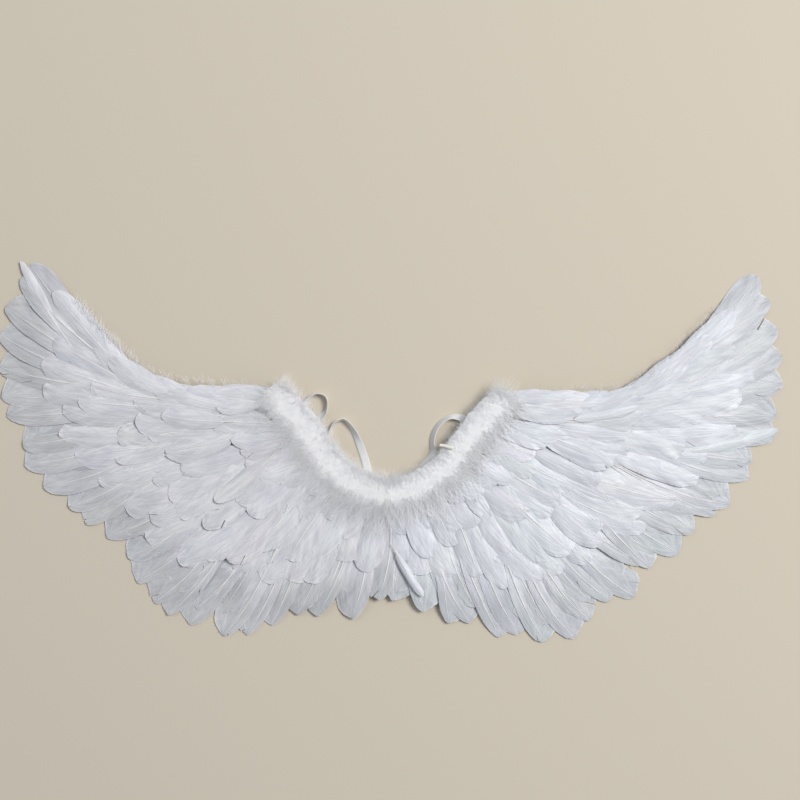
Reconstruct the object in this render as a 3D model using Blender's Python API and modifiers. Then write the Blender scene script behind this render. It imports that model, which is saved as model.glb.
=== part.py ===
"""Feathered costume wings: feather rows on stiffened, wire-framed backings, with a fluffy neckline trim and arm straps.

The wings lie flat with the feathers up. +X is the span, +Y points to the wing tips, +Z out of the feathered face.
The origin is on the back pad's underside, on the centre line and 10.5 mm towards the neck from the pad's middle.
The right wing is drawn, and the left one is its mirror image.
"""

import math

import bpy
import numpy as np

MM = 0.001

# Driving sizes, in millimetres.
GAP = 0.3  # clearance between neighbouring pieces
HINGE_X = 100.0  # each wing bends along this line, where its wires leave the middle board
FOLD_DEG = 50.0  # how far a wing bends back
HINGE_GAP = 0.8  # clearance at the height of the bend's axis
PAD_TOP = 2.5
STRAP_Z = (0.2, 1.2)
STRAP_WIDTH = 8.0
BACKING_Z = (2.8, 3.6)
WIRE_RADIUS = 1.0
WIRE_Z = BACKING_Z[1] + GAP + WIRE_RADIUS
BOARD_Z = (3.9, 5.7)
FIRST_ROW_Z = 6.2
FEATHER_THICK = 0.9
LEVEL_STEP = FEATHER_THICK + GAP
TRIM_Z = (12.4, 24.4)
TRIM_WIDTH = 34.0
TRIM_ROUNDING = 5.0
TRIM_END_X = 136.0
RIM_ANGLE = 50.0  # edges sharper than this are rounded
WIRE_INSET = 2.5  # from the backing's edge to the wire's middle
BOARD_INSET = 5.5
PATCH_SIDE = 11.0
PATCH_Z = (0.2, 2.5)
PATCH_GAP = 0.8
PATCH_CORNER = 1.5
PAD_SIZE = (68.0, 95.0)
PAD_MIDDLE_Y = -10.5
PAD_CORNER = 12.0
LOBE_DEPTH = 11.0  # how far a feather's round tip stands out of its row
TIP_FEATHER_LENGTH = 158.0
TIP_FEATHER_WIDTH = 33.0
LOBE_POINTS = 4  # outline points on each round feather tip
CURVE_STEPS = 3  # points on each stretch of a smooth outline

# Half outlines in the plane, right side, as (x, y) in millimetres.
NECKLINE = [(0, 54), (25, 61), (45, 76), (60, 95), (76, 116), (100, 135)]
WING_EDGE = [(100, 135), (143, 141), (195, 141), (235, 145), (262, 160), (288, 184), (308, 204), (322, 211),
             (334, 207), (338, 193), (328, 155), (308, 115), (282, 80), (252, 45), (218, 13), (180, -18), (140, -38),
             (100, -47)]
CENTER_LOWER_EDGE = [(0, -60), (20, -62), (60, -60), (100, -47)]
TRIM_LINE = [(0, 37), (34, 46), (60, 65), (76, 86), (92, 108), (112, 130), (122, 143)]

# Each feather row lies between its tips and its roots, both from the wing tip to the middle.
OUTER_TIPS = [(378, 86), (355, 55), (330, 31), (305, 5), (278, -22), (238, -56), (210, -80), (180, -95), (148, -99),
              (102, -90), (66, -81), (28, -75), (0, -68)]
OUTER_ROOTS = [(236, 116), (215, 112), (188, 92), (150, 58), (120, 34), (80, 20), (40, 14), (0, 12)]
MIDDLE_TIPS = [(322, 219), (345, 192), (350, 150), (332, 103), (306, 64), (275, 30), (240, -2), (205, -29),
               (170, -48), (130, -54), (90, -47), (45, -38), (0, -32)]
MIDDLE_ROOTS = [(240, 149), (215, 125), (185, 100), (150, 74), (115, 56), (80, 44), (40, 32), (0, 28)]
INNER_TIPS = [(280, 178), (302, 160), (302, 130), (282, 95), (255, 62), (225, 32), (190, 4), (155, -14), (118, -19),
              (80, -12), (40, -1), (0, 4)]
INNER_ROOTS = [(196, 140), (175, 128), (150, 110), (122, 88), (92, 70), (62, 56), (30, 44), (0, 40)]
SHORT_TIPS = [(236, 146), (250, 130), (240, 103), (216, 76), (188, 52), (155, 32), (118, 22), (80, 20), (42, 24),
              (0, 27)]
SHORT_ROOTS = [(140, 140), (120, 128), (100, 112), (84, 97), (66, 78), (45, 62), (22, 51), (0, 47)]
ROW_FEATHERS = {"outer": 24, "middle": 22, "inner": 18, "short": 14}

# The long feathers at a wing's tip, as (tip x, tip y, direction in degrees), in order from the leading edge.
TIP_FEATHERS = [(361, 263, 47), (384, 244, 38), (394, 216, 29), (398, 188, 20), (398, 158, 10), (394, 128, 0),
                (386, 100, -6)]

# The straps' middle lines, from the patch by the neckline to the lower patch, lying flat.
LEFT_STRAP_ROUTE = [(-20.5, 50), (-21.5, 60), (-25, 73), (-31, 88), (-38, 102), (-47, 111.5), (-57, 107), (-62, 96),
                    (-70, 86), (-80, 90), (-80, 102), (-72, 112), (-65, 122), (-66, 134), (-76, 137), (-86, 128),
                    (-92, 112), (-93, 88), (-90, 60), (-83, 30), (-70, 0), (-58, -18), (-51.5, -31), (-50, -42)]
RIGHT_STRAP_ROUTE = [(30, 50), (30.5, 56), (35, 65), (42, 73), (45, 81), (43.5, 90), (45.5, 101), (52, 111), (62, 117),
                     (73, 116), (82, 109), (88, 97), (86, 84), (76, 77), (64, 71), (61, 60), (70, 52), (83, 49),
                     (91, 39), (87, 27), (74, 23), (62, 17), (60, 5), (70, -3), (83, -8), (84, -20), (72, -26),
                     (59, -28), (51.5, -33), (50, -42)]


def clear_scene():
    for obj in list(bpy.data.objects):
        bpy.data.objects.remove(obj, do_unlink=True)


def new_collection(name):
    collection = bpy.data.collections.new(name)
    bpy.context.scene.collection.children.link(collection)
    return collection


def material(name, color, roughness, metallic=0.0):
    made = bpy.data.materials.new(name)
    made.use_nodes = True
    shader = made.node_tree.nodes["Principled BSDF"]
    shader.inputs["Base Color"].default_value = (*color, 1.0)
    shader.inputs["Roughness"].default_value = roughness
    shader.inputs["Metallic"].default_value = metallic
    return made


def smooth(points, steps=CURVE_STEPS):
    """Points of a Catmull-Rom curve through the given ones."""
    points = np.array(points, float)
    padded = np.vstack([2 * points[0] - points[1], points, 2 * points[-1] - points[-2]])
    found = []
    for a, b, c, d in zip(padded, padded[1:], padded[2:], padded[3:]):
        for t in np.arange(steps) / steps:
            found.append(0.5 * (2 * b + (c - a) * t + (2 * a - 5 * b + 4 * c - d) * t**2
                                + (3 * b - a - 3 * c + d) * t**3))
    found.append(points[-1])
    return np.array(found)


def along(line, share):
    """The point at this share of a line's length."""
    steps = np.hypot(*np.diff(line, axis=0).T)
    reached = np.concatenate([[0], np.cumsum(steps)]) / steps.sum()
    return np.array([np.interp(share, reached, line[:, axis]) for axis in (0, 1)])


def mirrored(points):
    return np.array(points, float) * (-1, 1)


def both_halves(half):
    """A line from the middle outwards, continued on the other side."""
    half = np.array(half, float)
    return np.vstack([mirrored(half[:0:-1]), half])


def rounded_box(width, height, radius, middle):
    """The outline of a rectangle with round corners."""
    found = []
    for quarter, (sx, sy) in enumerate([(1, 1), (-1, 1), (-1, -1), (1, -1)]):
        corner = (middle[0] + sx * (width / 2 - radius), middle[1] + sy * (height / 2 - radius))
        for step in range(CURVE_STEPS + 1):
            angle = math.pi / 2 * (quarter + step / CURVE_STEPS)
            found.append((corner[0] + radius * math.cos(angle), corner[1] + radius * math.sin(angle)))
    return np.array(found)


def inset(line, distance):
    """A line moved to its right-hand side as seen along it."""
    ahead = np.gradient(np.array(line, float), axis=0)
    ahead /= np.hypot(*ahead.T)[:, None]
    return line + distance * np.stack([ahead[:, 1], -ahead[:, 0]], axis=1)


def clip(outline, x, keep_above):
    """The part of an outline on one side of the line at x, where it crosses that line only twice."""
    found = []
    side = 1 if keep_above else -1
    for a, b in zip(outline, np.roll(outline, -1, axis=0)):
        a_in = side * (a[0] - x) >= 0
        b_in = side * (b[0] - x) >= 0
        if a_in:
            found.append(a)
        if a_in != b_in:
            found.append(a + (b - a) * (x - a[0]) / (b[0] - a[0]))
    return np.array(found)


def hinge_gap(top_z):
    """How far a layer stays from the bend's line, so that it clears the other side when folded."""
    return HINGE_GAP + max(0.0, top_z - WIRE_Z) * math.tan(math.radians(FOLD_DEG / 2))


def curve_object(name, points, z, closed=True):
    data = bpy.data.curves.new(name, "CURVE")
    spline = data.splines.new("POLY")
    spline.points.add(len(points) - 1)
    for place, (x, y) in zip(spline.points, points):
        place.co = (x * MM, y * MM, 0.0, 1.0)
    spline.use_cyclic_u = closed
    obj = bpy.data.objects.new(name, data)
    obj.location = (0.0, 0.0, z * MM)
    PARTS.objects.link(obj)
    return obj


def plate(name, outline, z_range, mat, rounding=0.0):
    """A flat piece of this outline, from the lower to the upper height, with rounded rims if asked."""
    low, high = z_range
    obj = curve_object(name, outline, (low + high) / 2)
    obj.data.dimensions = "2D"
    obj.data.fill_mode = "BOTH"
    obj.data.extrude = (high - low) / 2 * MM
    obj.data.materials.append(mat)
    if rounding:
        obj.modifiers.new("weld", "WELD").merge_threshold = 1e-5
        bevel = obj.modifiers.new("round_rims", "BEVEL")
        bevel.width = rounding * MM
        bevel.segments = 2
        bevel.limit_method = "ANGLE"
        bevel.angle_limit = math.radians(RIM_ANGLE)
    return obj


def wire(name, line):
    obj = curve_object(name, line, WIRE_Z, closed=False)
    obj.data.dimensions = "3D"
    obj.data.bevel_depth = WIRE_RADIUS * MM
    obj.data.bevel_resolution = 2
    obj.data.use_fill_caps = True
    obj.data.materials.append(STEEL)
    return obj


def lobed_row(tips, roots, feathers):
    """The closed outline of a feather row: round tips along one side, its root line along the other."""
    tips = smooth(tips)
    roots = smooth(roots)
    outer = []
    for i in range(feathers * LOBE_POINTS + 1):
        share = i / (feathers * LOBE_POINTS)
        base = along(tips, share)
        ahead = base - along(roots, share)
        ahead /= np.hypot(*ahead)
        outer.append(base + LOBE_DEPTH * abs(math.sin(math.pi * i / LOBE_POINTS)) * ahead)
    return np.vstack([outer, roots[::-1]])


def build_row(kind, tips, roots, level):
    """One feather row, as a middle piece and one on each wing."""
    low = FIRST_ROW_Z + level * LEVEL_STEP
    z_range = (low, low + FEATHER_THICK)
    gap = hinge_gap(z_range[1])
    half = lobed_row(tips, roots, ROW_FEATHERS[kind])
    wing = clip(half, HINGE_X + gap, True)
    middle = clip(half, HINGE_X - gap, False)
    # The clipped half runs along the tips to x = 0 and back along the roots, so its mirror image closes it.
    last_tip = int(np.argmax(middle[:, 0] < 1e-6))
    tips_side = middle[: last_tip + 1]
    roots_side = middle[last_tip + 1 :]
    whole = np.vstack([tips_side, mirrored(tips_side[-2::-1]), mirrored(roots_side[:0:-1]), roots_side])
    plate(f"center_{kind}_feathers", whole, z_range, FEATHER)
    return {side: [plate(f"{side}_{kind}_feathers", outline, z_range, FEATHER)]
            for side, outline in (("right", wing), ("left", mirrored(wing)))}


def feather_outline(tip_x, tip_y, degrees):
    """One long feather in outline: a bare quill that widens into the vane and ends in a round tip."""
    ahead = np.array([math.cos(math.radians(degrees)), math.sin(math.radians(degrees))])
    across = np.array([-ahead[1], ahead[0]])
    widths = [(0.0, 0.09), (0.12, 0.14), (0.3, 0.52), (0.5, 0.84), (0.7, 1.0), (0.86, 0.9), (0.95, 0.58), (0.99, 0.2)]
    tip = np.array([tip_x, tip_y], float)
    one_side = [tip - (1 - share) * TIP_FEATHER_LENGTH * ahead + width * TIP_FEATHER_WIDTH / 2 * across
                for share, width in widths]
    other_side = [point - 2 * np.dot(point - tip, across) * across for point in one_side]
    return np.vstack([one_side, other_side[::-1]])


def build_tip_feathers():
    """The seven long feathers at each wing's tip, on two levels by turns."""
    found = {"right": [], "left": []}
    for number, (x, y, degrees) in enumerate(TIP_FEATHERS):
        low = FIRST_ROW_Z + (LEVEL_STEP if number % 2 == 0 else 0.0)
        outline = feather_outline(x, y, degrees)
        for side, placed in (("right", outline), ("left", mirrored(outline))):
            name = f"{side}_tip_feather_{number + 1}"
            found[side].append(plate(name, placed, (low, low + FEATHER_THICK), FEATHER))
    return found


def build_wing_base():
    """Each wing's backing, frame wire and board."""
    edge = smooth(WING_EDGE)
    backing = clip(edge, HINGE_X + HINGE_GAP, True)
    board = clip(inset(edge, BOARD_INSET), HINGE_X + HINGE_GAP + hinge_gap(BOARD_Z[1]), True)
    rim = inset(edge, WIRE_INSET)
    rim = rim[rim[:, 0] > HINGE_X + HINGE_GAP + WIRE_RADIUS / 2]
    found = {}
    for side, placed in (("right", np.array), ("left", mirrored)):
        found[side] = [
            plate(f"{side}_wing_backing", placed(backing), BACKING_Z, FELT),
            wire(f"{side}_frame_wire", placed(rim)),
            plate(f"{side}_wing_board", placed(board), BOARD_Z, CARD),
        ]
    return found


def build_center_base():
    """The middle's backing, board and two wires, and the pad that rests on the wearer's back."""
    upper = both_halves(smooth(NECKLINE))
    lower = both_halves(smooth(CENTER_LOWER_EDGE))[::-1]

    def between_hinges(outline, gap):
        return clip(clip(outline, HINGE_X - gap, False), gap - HINGE_X, True)

    plate("center_backing", between_hinges(np.vstack([upper, lower]), HINGE_GAP), BACKING_Z, FELT)
    inner = np.vstack([inset(upper, BOARD_INSET), inset(lower, BOARD_INSET)])
    plate("center_board", between_hinges(inner, HINGE_GAP + hinge_gap(BOARD_Z[1])), BOARD_Z, CARD)
    for name, line in (("upper_center_wire", upper), ("lower_center_wire", lower)):
        line = inset(line, WIRE_INSET)
        wire(name, line[np.abs(line[:, 0]) < HINGE_X - HINGE_GAP - WIRE_RADIUS / 2])
    plate("back_pad", rounded_box(*PAD_SIZE, PAD_CORNER, (0.0, PAD_MIDDLE_Y)), (0.0, PAD_TOP), FELT)


def build_trim():
    """The fluffy roll along the neckline: its middle and the short end on each wing's root."""
    line = smooth(TRIM_LINE)
    half = TRIM_WIDTH / 2
    gap = hinge_gap(TRIM_Z[1])
    whole = both_halves(line)
    band = np.vstack([inset(whole, -half), inset(whole, half)[::-1]])
    middle = clip(clip(band, HINGE_X - gap, False), gap - HINGE_X, True)
    plate("center_neck_trim", middle, TRIM_Z, FLUFF, TRIM_ROUNDING)
    wing = clip(clip(np.vstack([inset(line, -half), inset(line, half)[::-1]]), HINGE_X + gap, True), TRIM_END_X, False)
    return {side: [plate(f"{side}_neck_trim", placed, TRIM_Z, FLUFF, TRIM_ROUNDING)]
            for side, placed in (("right", wing), ("left", mirrored(wing)))}


def build_strap(side, route):
    """An elastic arm strap lying flat, between its two sewn patches."""
    line = smooth(route)
    half = STRAP_WIDTH / 2
    band = plate(f"{side}_arm_strap", np.vstack([inset(line, -half), inset(line, half)[::-1]]), STRAP_Z, ELASTIC)
    reach = PATCH_GAP + PATCH_SIDE / 2
    for place, (x, y) in (("upper", route[0]), ("lower", route[-1])):
        outline = rounded_box(PATCH_SIDE, PATCH_SIDE, PATCH_CORNER, (x, y - reach))
        plate(f"{side}_{place}_strap_patch", outline, PATCH_Z, FELT)
    return [band]


def hinge(name, place, pieces):
    """An empty on a joint's axis, which carries the pieces that turn with it."""
    empty = bpy.data.objects.new(name, None)
    empty.location = [value * MM for value in place]
    PARTS.objects.link(empty)
    for piece in pieces:
        piece.parent = empty
        piece.location = [a - b for a, b in zip(piece.location, empty.location)]


clear_scene()
PARTS = new_collection("feathered_wings")
FEATHER = material("white_feather", (0.9, 0.91, 0.93), 0.5)
FLUFF = material("white_marabou", (0.94, 0.94, 0.95), 0.9)
FELT = material("white_felt", (0.86, 0.86, 0.85), 0.95)
CARD = material("white_card", (0.85, 0.84, 0.8), 0.8)
STEEL = material("frame_steel", (0.6, 0.6, 0.6), 0.4, 1.0)
ELASTIC = material("white_elastic", (0.9, 0.9, 0.9), 0.7)

build_center_base()
wings = [build_wing_base(), build_tip_feathers(), build_trim()]
for level, (kind, tips, roots) in enumerate((
    ("outer", OUTER_TIPS, OUTER_ROOTS),
    ("middle", MIDDLE_TIPS, MIDDLE_ROOTS),
    ("inner", INNER_TIPS, INNER_ROOTS),
    ("short", SHORT_TIPS, SHORT_ROOTS),
)):
    # The second level belongs to the tip feathers, so the rows after the first start above it.
    wings.append(build_row(kind, tips, roots, level + (level > 0)))
for side, sign in (("right", 1), ("left", -1)):
    pieces = [piece for group in wings for piece in group[side]]
    hinge(f"{side}_wing_hinge", (sign * HINGE_X, 0.0, WIRE_Z), pieces)
hinge("left_strap_hinge", (-16.0, 50.0, STRAP_Z[1]), build_strap("left", LEFT_STRAP_ROUTE))
hinge("right_strap_hinge", (25.5, 50.0, STRAP_Z[1]), build_strap("right", RIGHT_STRAP_ROUTE))
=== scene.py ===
"""The looks of the feathered costume wings: feathers, fluffy neckline trim, felt backs and elastic straps.

Lengths are in millimetres until a mesh is made. The right wing is drawn and the left one is mirrored, each
with its own random draws. A feather's own frame has x ahead from its root to its tip, y to its left and z up.
"""

import math
from dataclasses import dataclass

import bpy
import numpy as np
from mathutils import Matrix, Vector
from mathutils.geometry import delaunay_2d_cdt


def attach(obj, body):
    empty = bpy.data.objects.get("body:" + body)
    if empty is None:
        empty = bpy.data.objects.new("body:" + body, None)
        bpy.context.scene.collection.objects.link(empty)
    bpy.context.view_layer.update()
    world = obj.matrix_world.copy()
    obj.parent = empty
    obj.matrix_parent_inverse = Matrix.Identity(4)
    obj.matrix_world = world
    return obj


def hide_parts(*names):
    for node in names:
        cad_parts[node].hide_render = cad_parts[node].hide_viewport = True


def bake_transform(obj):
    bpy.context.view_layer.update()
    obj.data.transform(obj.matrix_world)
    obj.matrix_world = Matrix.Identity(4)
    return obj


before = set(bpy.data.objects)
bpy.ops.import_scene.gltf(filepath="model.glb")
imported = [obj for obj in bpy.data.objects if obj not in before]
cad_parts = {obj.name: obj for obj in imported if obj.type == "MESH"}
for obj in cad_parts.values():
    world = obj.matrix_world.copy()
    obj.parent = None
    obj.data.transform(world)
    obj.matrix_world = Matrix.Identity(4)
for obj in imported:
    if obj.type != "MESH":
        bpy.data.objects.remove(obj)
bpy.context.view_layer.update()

MM = 0.001
SIDES = {"right": 1, "left": -1}

# The height of the frame wires' middle line.
BEND_Z = 4.9

# Guides of the right wing, as (x, y). The neckline and the backing's edges are those of the solids.
NECKLINE = [(0, 54), (25, 61), (45, 76), (60, 95), (76, 116), (100, 135)]
WING_EDGE = [
    (100, 135), (143, 141), (195, 141), (235, 145), (262, 160), (288, 184), (308, 204), (322, 211),
    (334, 207), (338, 193), (328, 155), (308, 115), (282, 80), (252, 45), (218, 13), (180, -18),
    (140, -38), (100, -47),
]
CENTER_LOWER_EDGE = [(0, -60), (20, -62), (60, -60), (100, -47)]
TRIM_LINE = [
    (-3, 37), (11, 37.6), (34, 46), (60, 65), (76, 86), (92, 108), (112, 130), (122, 143),
]
EDGE_LINE = [
    (352, 257), (331, 236), (309, 213), (288, 191), (266, 172), (245, 158), (220, 151), (194, 148),
    (166, 147), (140, 146),
]

# Each row's tips and roots, from the wing's tip to the middle.
OUTER_TIPS = [
    (389, 92), (370, 58), (343, 28), (314, -1), (285, -30), (245, -66), (215, -92), (182, -107),
    (148, -107), (104, -100), (68, -92), (30, -86), (0, -78),
]
OUTER_ROOTS = [
    (236, 116), (215, 112), (188, 92), (150, 58), (120, 34), (80, 20), (40, 14), (0, 12),
]
MIDDLE_TIPS = [
    (341, 206), (355, 184), (358, 150), (340, 102), (312, 62), (278, 27), (242, -4), (205, -30),
    (170, -49), (131, -55), (90, -49), (45, -40), (0, -36),
]
MIDDLE_ROOTS = [
    (247, 132), (218, 116), (186, 98), (150, 74), (115, 56), (80, 44), (40, 32), (0, 28),
]
INNER_TIPS = [
    (300, 160), (312, 146), (309, 126), (290, 92), (262, 56), (230, 25), (194, -5), (157, -24),
    (118, -29), (80, -24), (40, -16), (0, -10),
]
INNER_ROOTS = [
    (200, 117), (176, 112), (150, 104), (122, 88), (92, 70), (62, 56), (30, 44), (0, 40),
]
SHORT_TIPS = [
    (246, 133), (256, 118), (247, 96), (222, 70), (192, 45), (157, 23), (119, 12), (80, 8), (42, 10),
    (0, 14),
]
SHORT_ROOTS = [
    (142, 124), (122, 118), (101, 108), (84, 97), (66, 78), (45, 62), (22, 51), (0, 47),
]
NECK_TIPS = [
    (178, 130), (182, 116), (172, 96), (152, 74), (128, 56), (100, 44), (68, 36), (36, 30), (0, 29),
]
NECK_ROOTS = [(114, 130), (106, 122), (94, 109), (80, 92), (64, 74), (42, 58), (18, 50), (0, 48)]

# Each row's name, guides and feathers on a side, then its feathers' lengths, widths and root heights at the
# outer and the inner end, the height of its tips outside the backing, and how far a tip may stray.
ROWS = [
    ("outer", OUTER_TIPS, OUTER_ROOTS, 18, (144, 112), (42, 34), (7.0, 7.0), 1.5, (-11, 6)),
    ("middle", MIDDLE_TIPS, MIDDLE_ROOTS, 18, (124, 104), (42, 38), (8.6, 9.0), 3.4, (-13, 13)),
    ("inner", INNER_TIPS, INNER_ROOTS, 14, (112, 86), (42, 36), (9.7, 10.4), 5.4, (-13, 13)),
    ("short", SHORT_TIPS, SHORT_ROOTS, 15, (104, 60), (38, 33), (10.8, 11.7), 7.4, (-9, 9)),
    ("neck", NECK_TIPS, NECK_ROOTS, 13, (80, 46), (32, 26), (12.4, 12.8), 10.0, (-9, 9)),
]
# Feathers under the outer row, which close most of the gaps between its tips.
UNDER_FEATHERS = 17
UNDER_SHORTER = 17.0
UNDER_LOWER = 0.8
ROOT_MARGIN = 7.0  # how far a feather may start behind its row's root line
ROW_TILT = 3.4  # degrees, one edge of each feather over the next one's

# The long feathers at a wing's tip: (tip x, tip y, direction in degrees, length, width).
TIP_FEATHERS = [
    (371, 267, 51, 156, 31), (384, 246, 38, 158, 38), (394, 217, 29, 156, 40), (399, 188, 19, 154, 40),
    (399, 158, 9, 152, 40), (396, 128, -1, 150, 40), (392, 106, -8, 148, 38),
]
TIP_LEVEL, TIP_LOW, TIP_TILT = 7.4, 1.6, 3.2

# The slender feathers laid along the leading edge: (tip x, tip y, direction, length, width, root height).
EDGE_FEATHERS = [
    (346, 234, 46, 112, 27, 9.0), (323, 206, 44, 100, 26, 9.6), (305, 186, 40, 96, 28, 10.2),
    (286, 169, 34, 92, 27, 10.8), (264, 149, 22, 92, 27, 11.2), (238, 139, 9, 96, 26, 11.6),
    (209, 136, 4, 92, 24, 12.0), (181, 134, 2, 80, 24, 12.3), (154, 134, 2, 58, 22, 12.6),
]
EDGE_LOW = 5.0

# Odd feathers that lie across the others: (tip x, tip y, direction, length, width, cup, peak, root height,
# tip height).
LOOSE_FEATHERS = {
    "right": [
        (38, -66, -58, 62, 13, 5.0, 0.5, 12.0, 7.6),
        (397, 112, 14, 118, 19, 9.0, 0.4, 8.4, 3.2),
        (252, 132, 12, 78, 16, 8.0, 0.5, 13.0, 9.0),
    ],
    "left": [
        (381, 266, 57, 112, 13, 12.0, 0.5, 7.8, 3.0),
        (176, 26, -40, 84, 24, 15.0, 0.6, 13.4, 9.0),
        (232, 112, 4, 74, 24, 20.0, 0.6, 13.2, 9.4),
    ],
}

# What a feather's underside comes to rest on. Neighbours differ, so that no two of them share a face.
REST_LOWEST, REST_STEP, REST_UNDER, REST_LOOSE = 0.75, 0.38, 0.19, 2.2

# Each side's tint. The left side's feathers and fluff are darker and greyer: painted shade, as the light
# falls from the right.
PALE = {"right": np.array([0.915, 0.95, 0.995]), "left": np.array([0.91, 0.92, 0.955])}
FLUFF_PALE = {"right": np.array([0.975, 0.985, 1.0]), "left": np.array([0.965, 0.97, 0.985])}
# Painted shade: the roll is darker than the strands that lie over it.
ROLL_PAINTED_SHADE = 0.92
THIN = np.array([0.80, 0.81, 0.80])  # colour share of a single layer, as if the floor showed through
# A painted highlight: the vanes' outer edges are made brighter, as they catch the light.
RIM_HIGHLIGHT = np.array([1.03, 1.03, 1.03])
QUILL_PALE = np.array([1.0, 1.0, 0.985])
QUILL_ROOT = np.array([0.93, 0.90, 0.80])
UNDERSIDE_SHADE = 0.97
LOOSE_SHADE = 1.05
SLENDER_SHADE = 1.03
DARK_QUILL_SHADE = 1.04


# ---- lines and places

def smooth(points, steps=6):
    """Points of a Catmull-Rom curve through the given ones."""
    points = np.array(points, float)
    padded = np.vstack([2 * points[0] - points[1], points, 2 * points[-1] - points[-2]])
    found = []
    for a, b, c, d in zip(padded, padded[1:], padded[2:], padded[3:]):
        for t in np.arange(steps) / steps:
            found.append(0.5 * (2 * b + (c - a) * t + (2 * a - 5 * b + 4 * c - d) * t**2
                                + (3 * b - a - 3 * c + d) * t**3))
    found.append(points[-1])
    return np.array(found)


def reach_along(line):
    """The length covered at each point of a line, from 0 at its start."""
    steps = np.linalg.norm(np.diff(line, axis=0), axis=1)
    return np.concatenate([[0], np.cumsum(steps)])


def along(line, share):
    """The points at these shares of a line's length."""
    reached = reach_along(line)
    return np.stack([np.interp(np.asarray(share) * reached[-1], reached, line[:, k])
                     for k in range(line.shape[1])], axis=-1)


def directions(line):
    """The unit vector ahead at each point of a line."""
    ahead = np.gradient(line, axis=0)
    return ahead / np.linalg.norm(ahead, axis=1)[:, None]


def between(ends, share):
    return ends[0] + (ends[1] - ends[0]) * share


def smoothstep(value):
    value = np.clip(value, 0.0, 1.0)
    return value * value * (3 - 2 * value)


def distance_outside(points, outline):
    """How far each point lies outside a closed outline, negative inside."""
    a = outline[None, :, :]
    b = np.roll(outline, -1, axis=0)[None, :, :]
    p = points[:, None, :]
    edge = b - a
    share = np.clip(((p - a) * edge).sum(-1) / np.maximum((edge**2).sum(-1), 1e-9), 0, 1)
    away = np.linalg.norm(p - a - share[..., None] * edge, axis=-1).min(axis=1)
    crosses = (a[..., 1] > p[..., 1]) != (b[..., 1] > p[..., 1])
    slope = np.where(np.abs(edge[..., 1]) < 1e-9, 1e-9, edge[..., 1])
    at_x = a[..., 0] + (p[..., 1] - a[..., 1]) * edge[..., 0] / slope
    inside = (crosses & (p[..., 0] < at_x)).sum(axis=1) % 2 == 1
    return np.where(inside, -away, away)


def whole_outline():
    """The stiffened middle and right wing as one closed outline, from x = 0."""
    return np.vstack([smooth(NECKLINE)[:-1], smooth(WING_EDGE), smooth(CENTER_LOWER_EDGE)[::-1][1:]])


class Lie:
    """How far points lie outside the stiff backing, read from a grid worked out once."""

    STEP = 4.0
    LOW = np.array([-8.0, -150.0])
    COUNT = (115, 120)

    def __init__(self):
        x, y = (self.LOW[k] + self.STEP * np.arange(self.COUNT[k]) for k in (0, 1))
        spots = np.stack(np.meshgrid(x, y, indexing="ij"), axis=-1).reshape(-1, 2)
        spots[:, 0] = np.abs(spots[:, 0])
        self.table = distance_outside(spots, whole_outline()).reshape(self.COUNT)

    def outside(self, x, y):
        place = (np.stack([np.abs(x), y], axis=-1) - self.LOW) / self.STEP
        place = np.clip(place, 0, np.array(self.COUNT) - 1.001)
        cell = place.astype(int)
        part = place - cell
        i, j = cell[..., 0], cell[..., 1]
        u, v = part[..., 0], part[..., 1]
        t = self.table
        return ((1 - u) * (1 - v) * t[i, j] + u * (1 - v) * t[i + 1, j]
                + (1 - u) * v * t[i, j + 1] + u * v * t[i + 1, j + 1])


LIE = Lie()
DROOP_START = 4.0  # how far inside the backing's edge a row starts to sink
DROOP_REACH = 62.0  # over what distance it sinks to its lowest


def lie_height(x, y, level, low):
    """The height of a layer: level on the backing, sinking towards low outside it."""
    return level - (level - low) * smoothstep((LIE.outside(x, y) + DROOP_START) / DROOP_REACH)


def draws(seed, side):
    """A piece's own random draws, which differ between the sides."""
    return np.random.default_rng(seed + int(side < 0))


# ---- meshes

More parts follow.
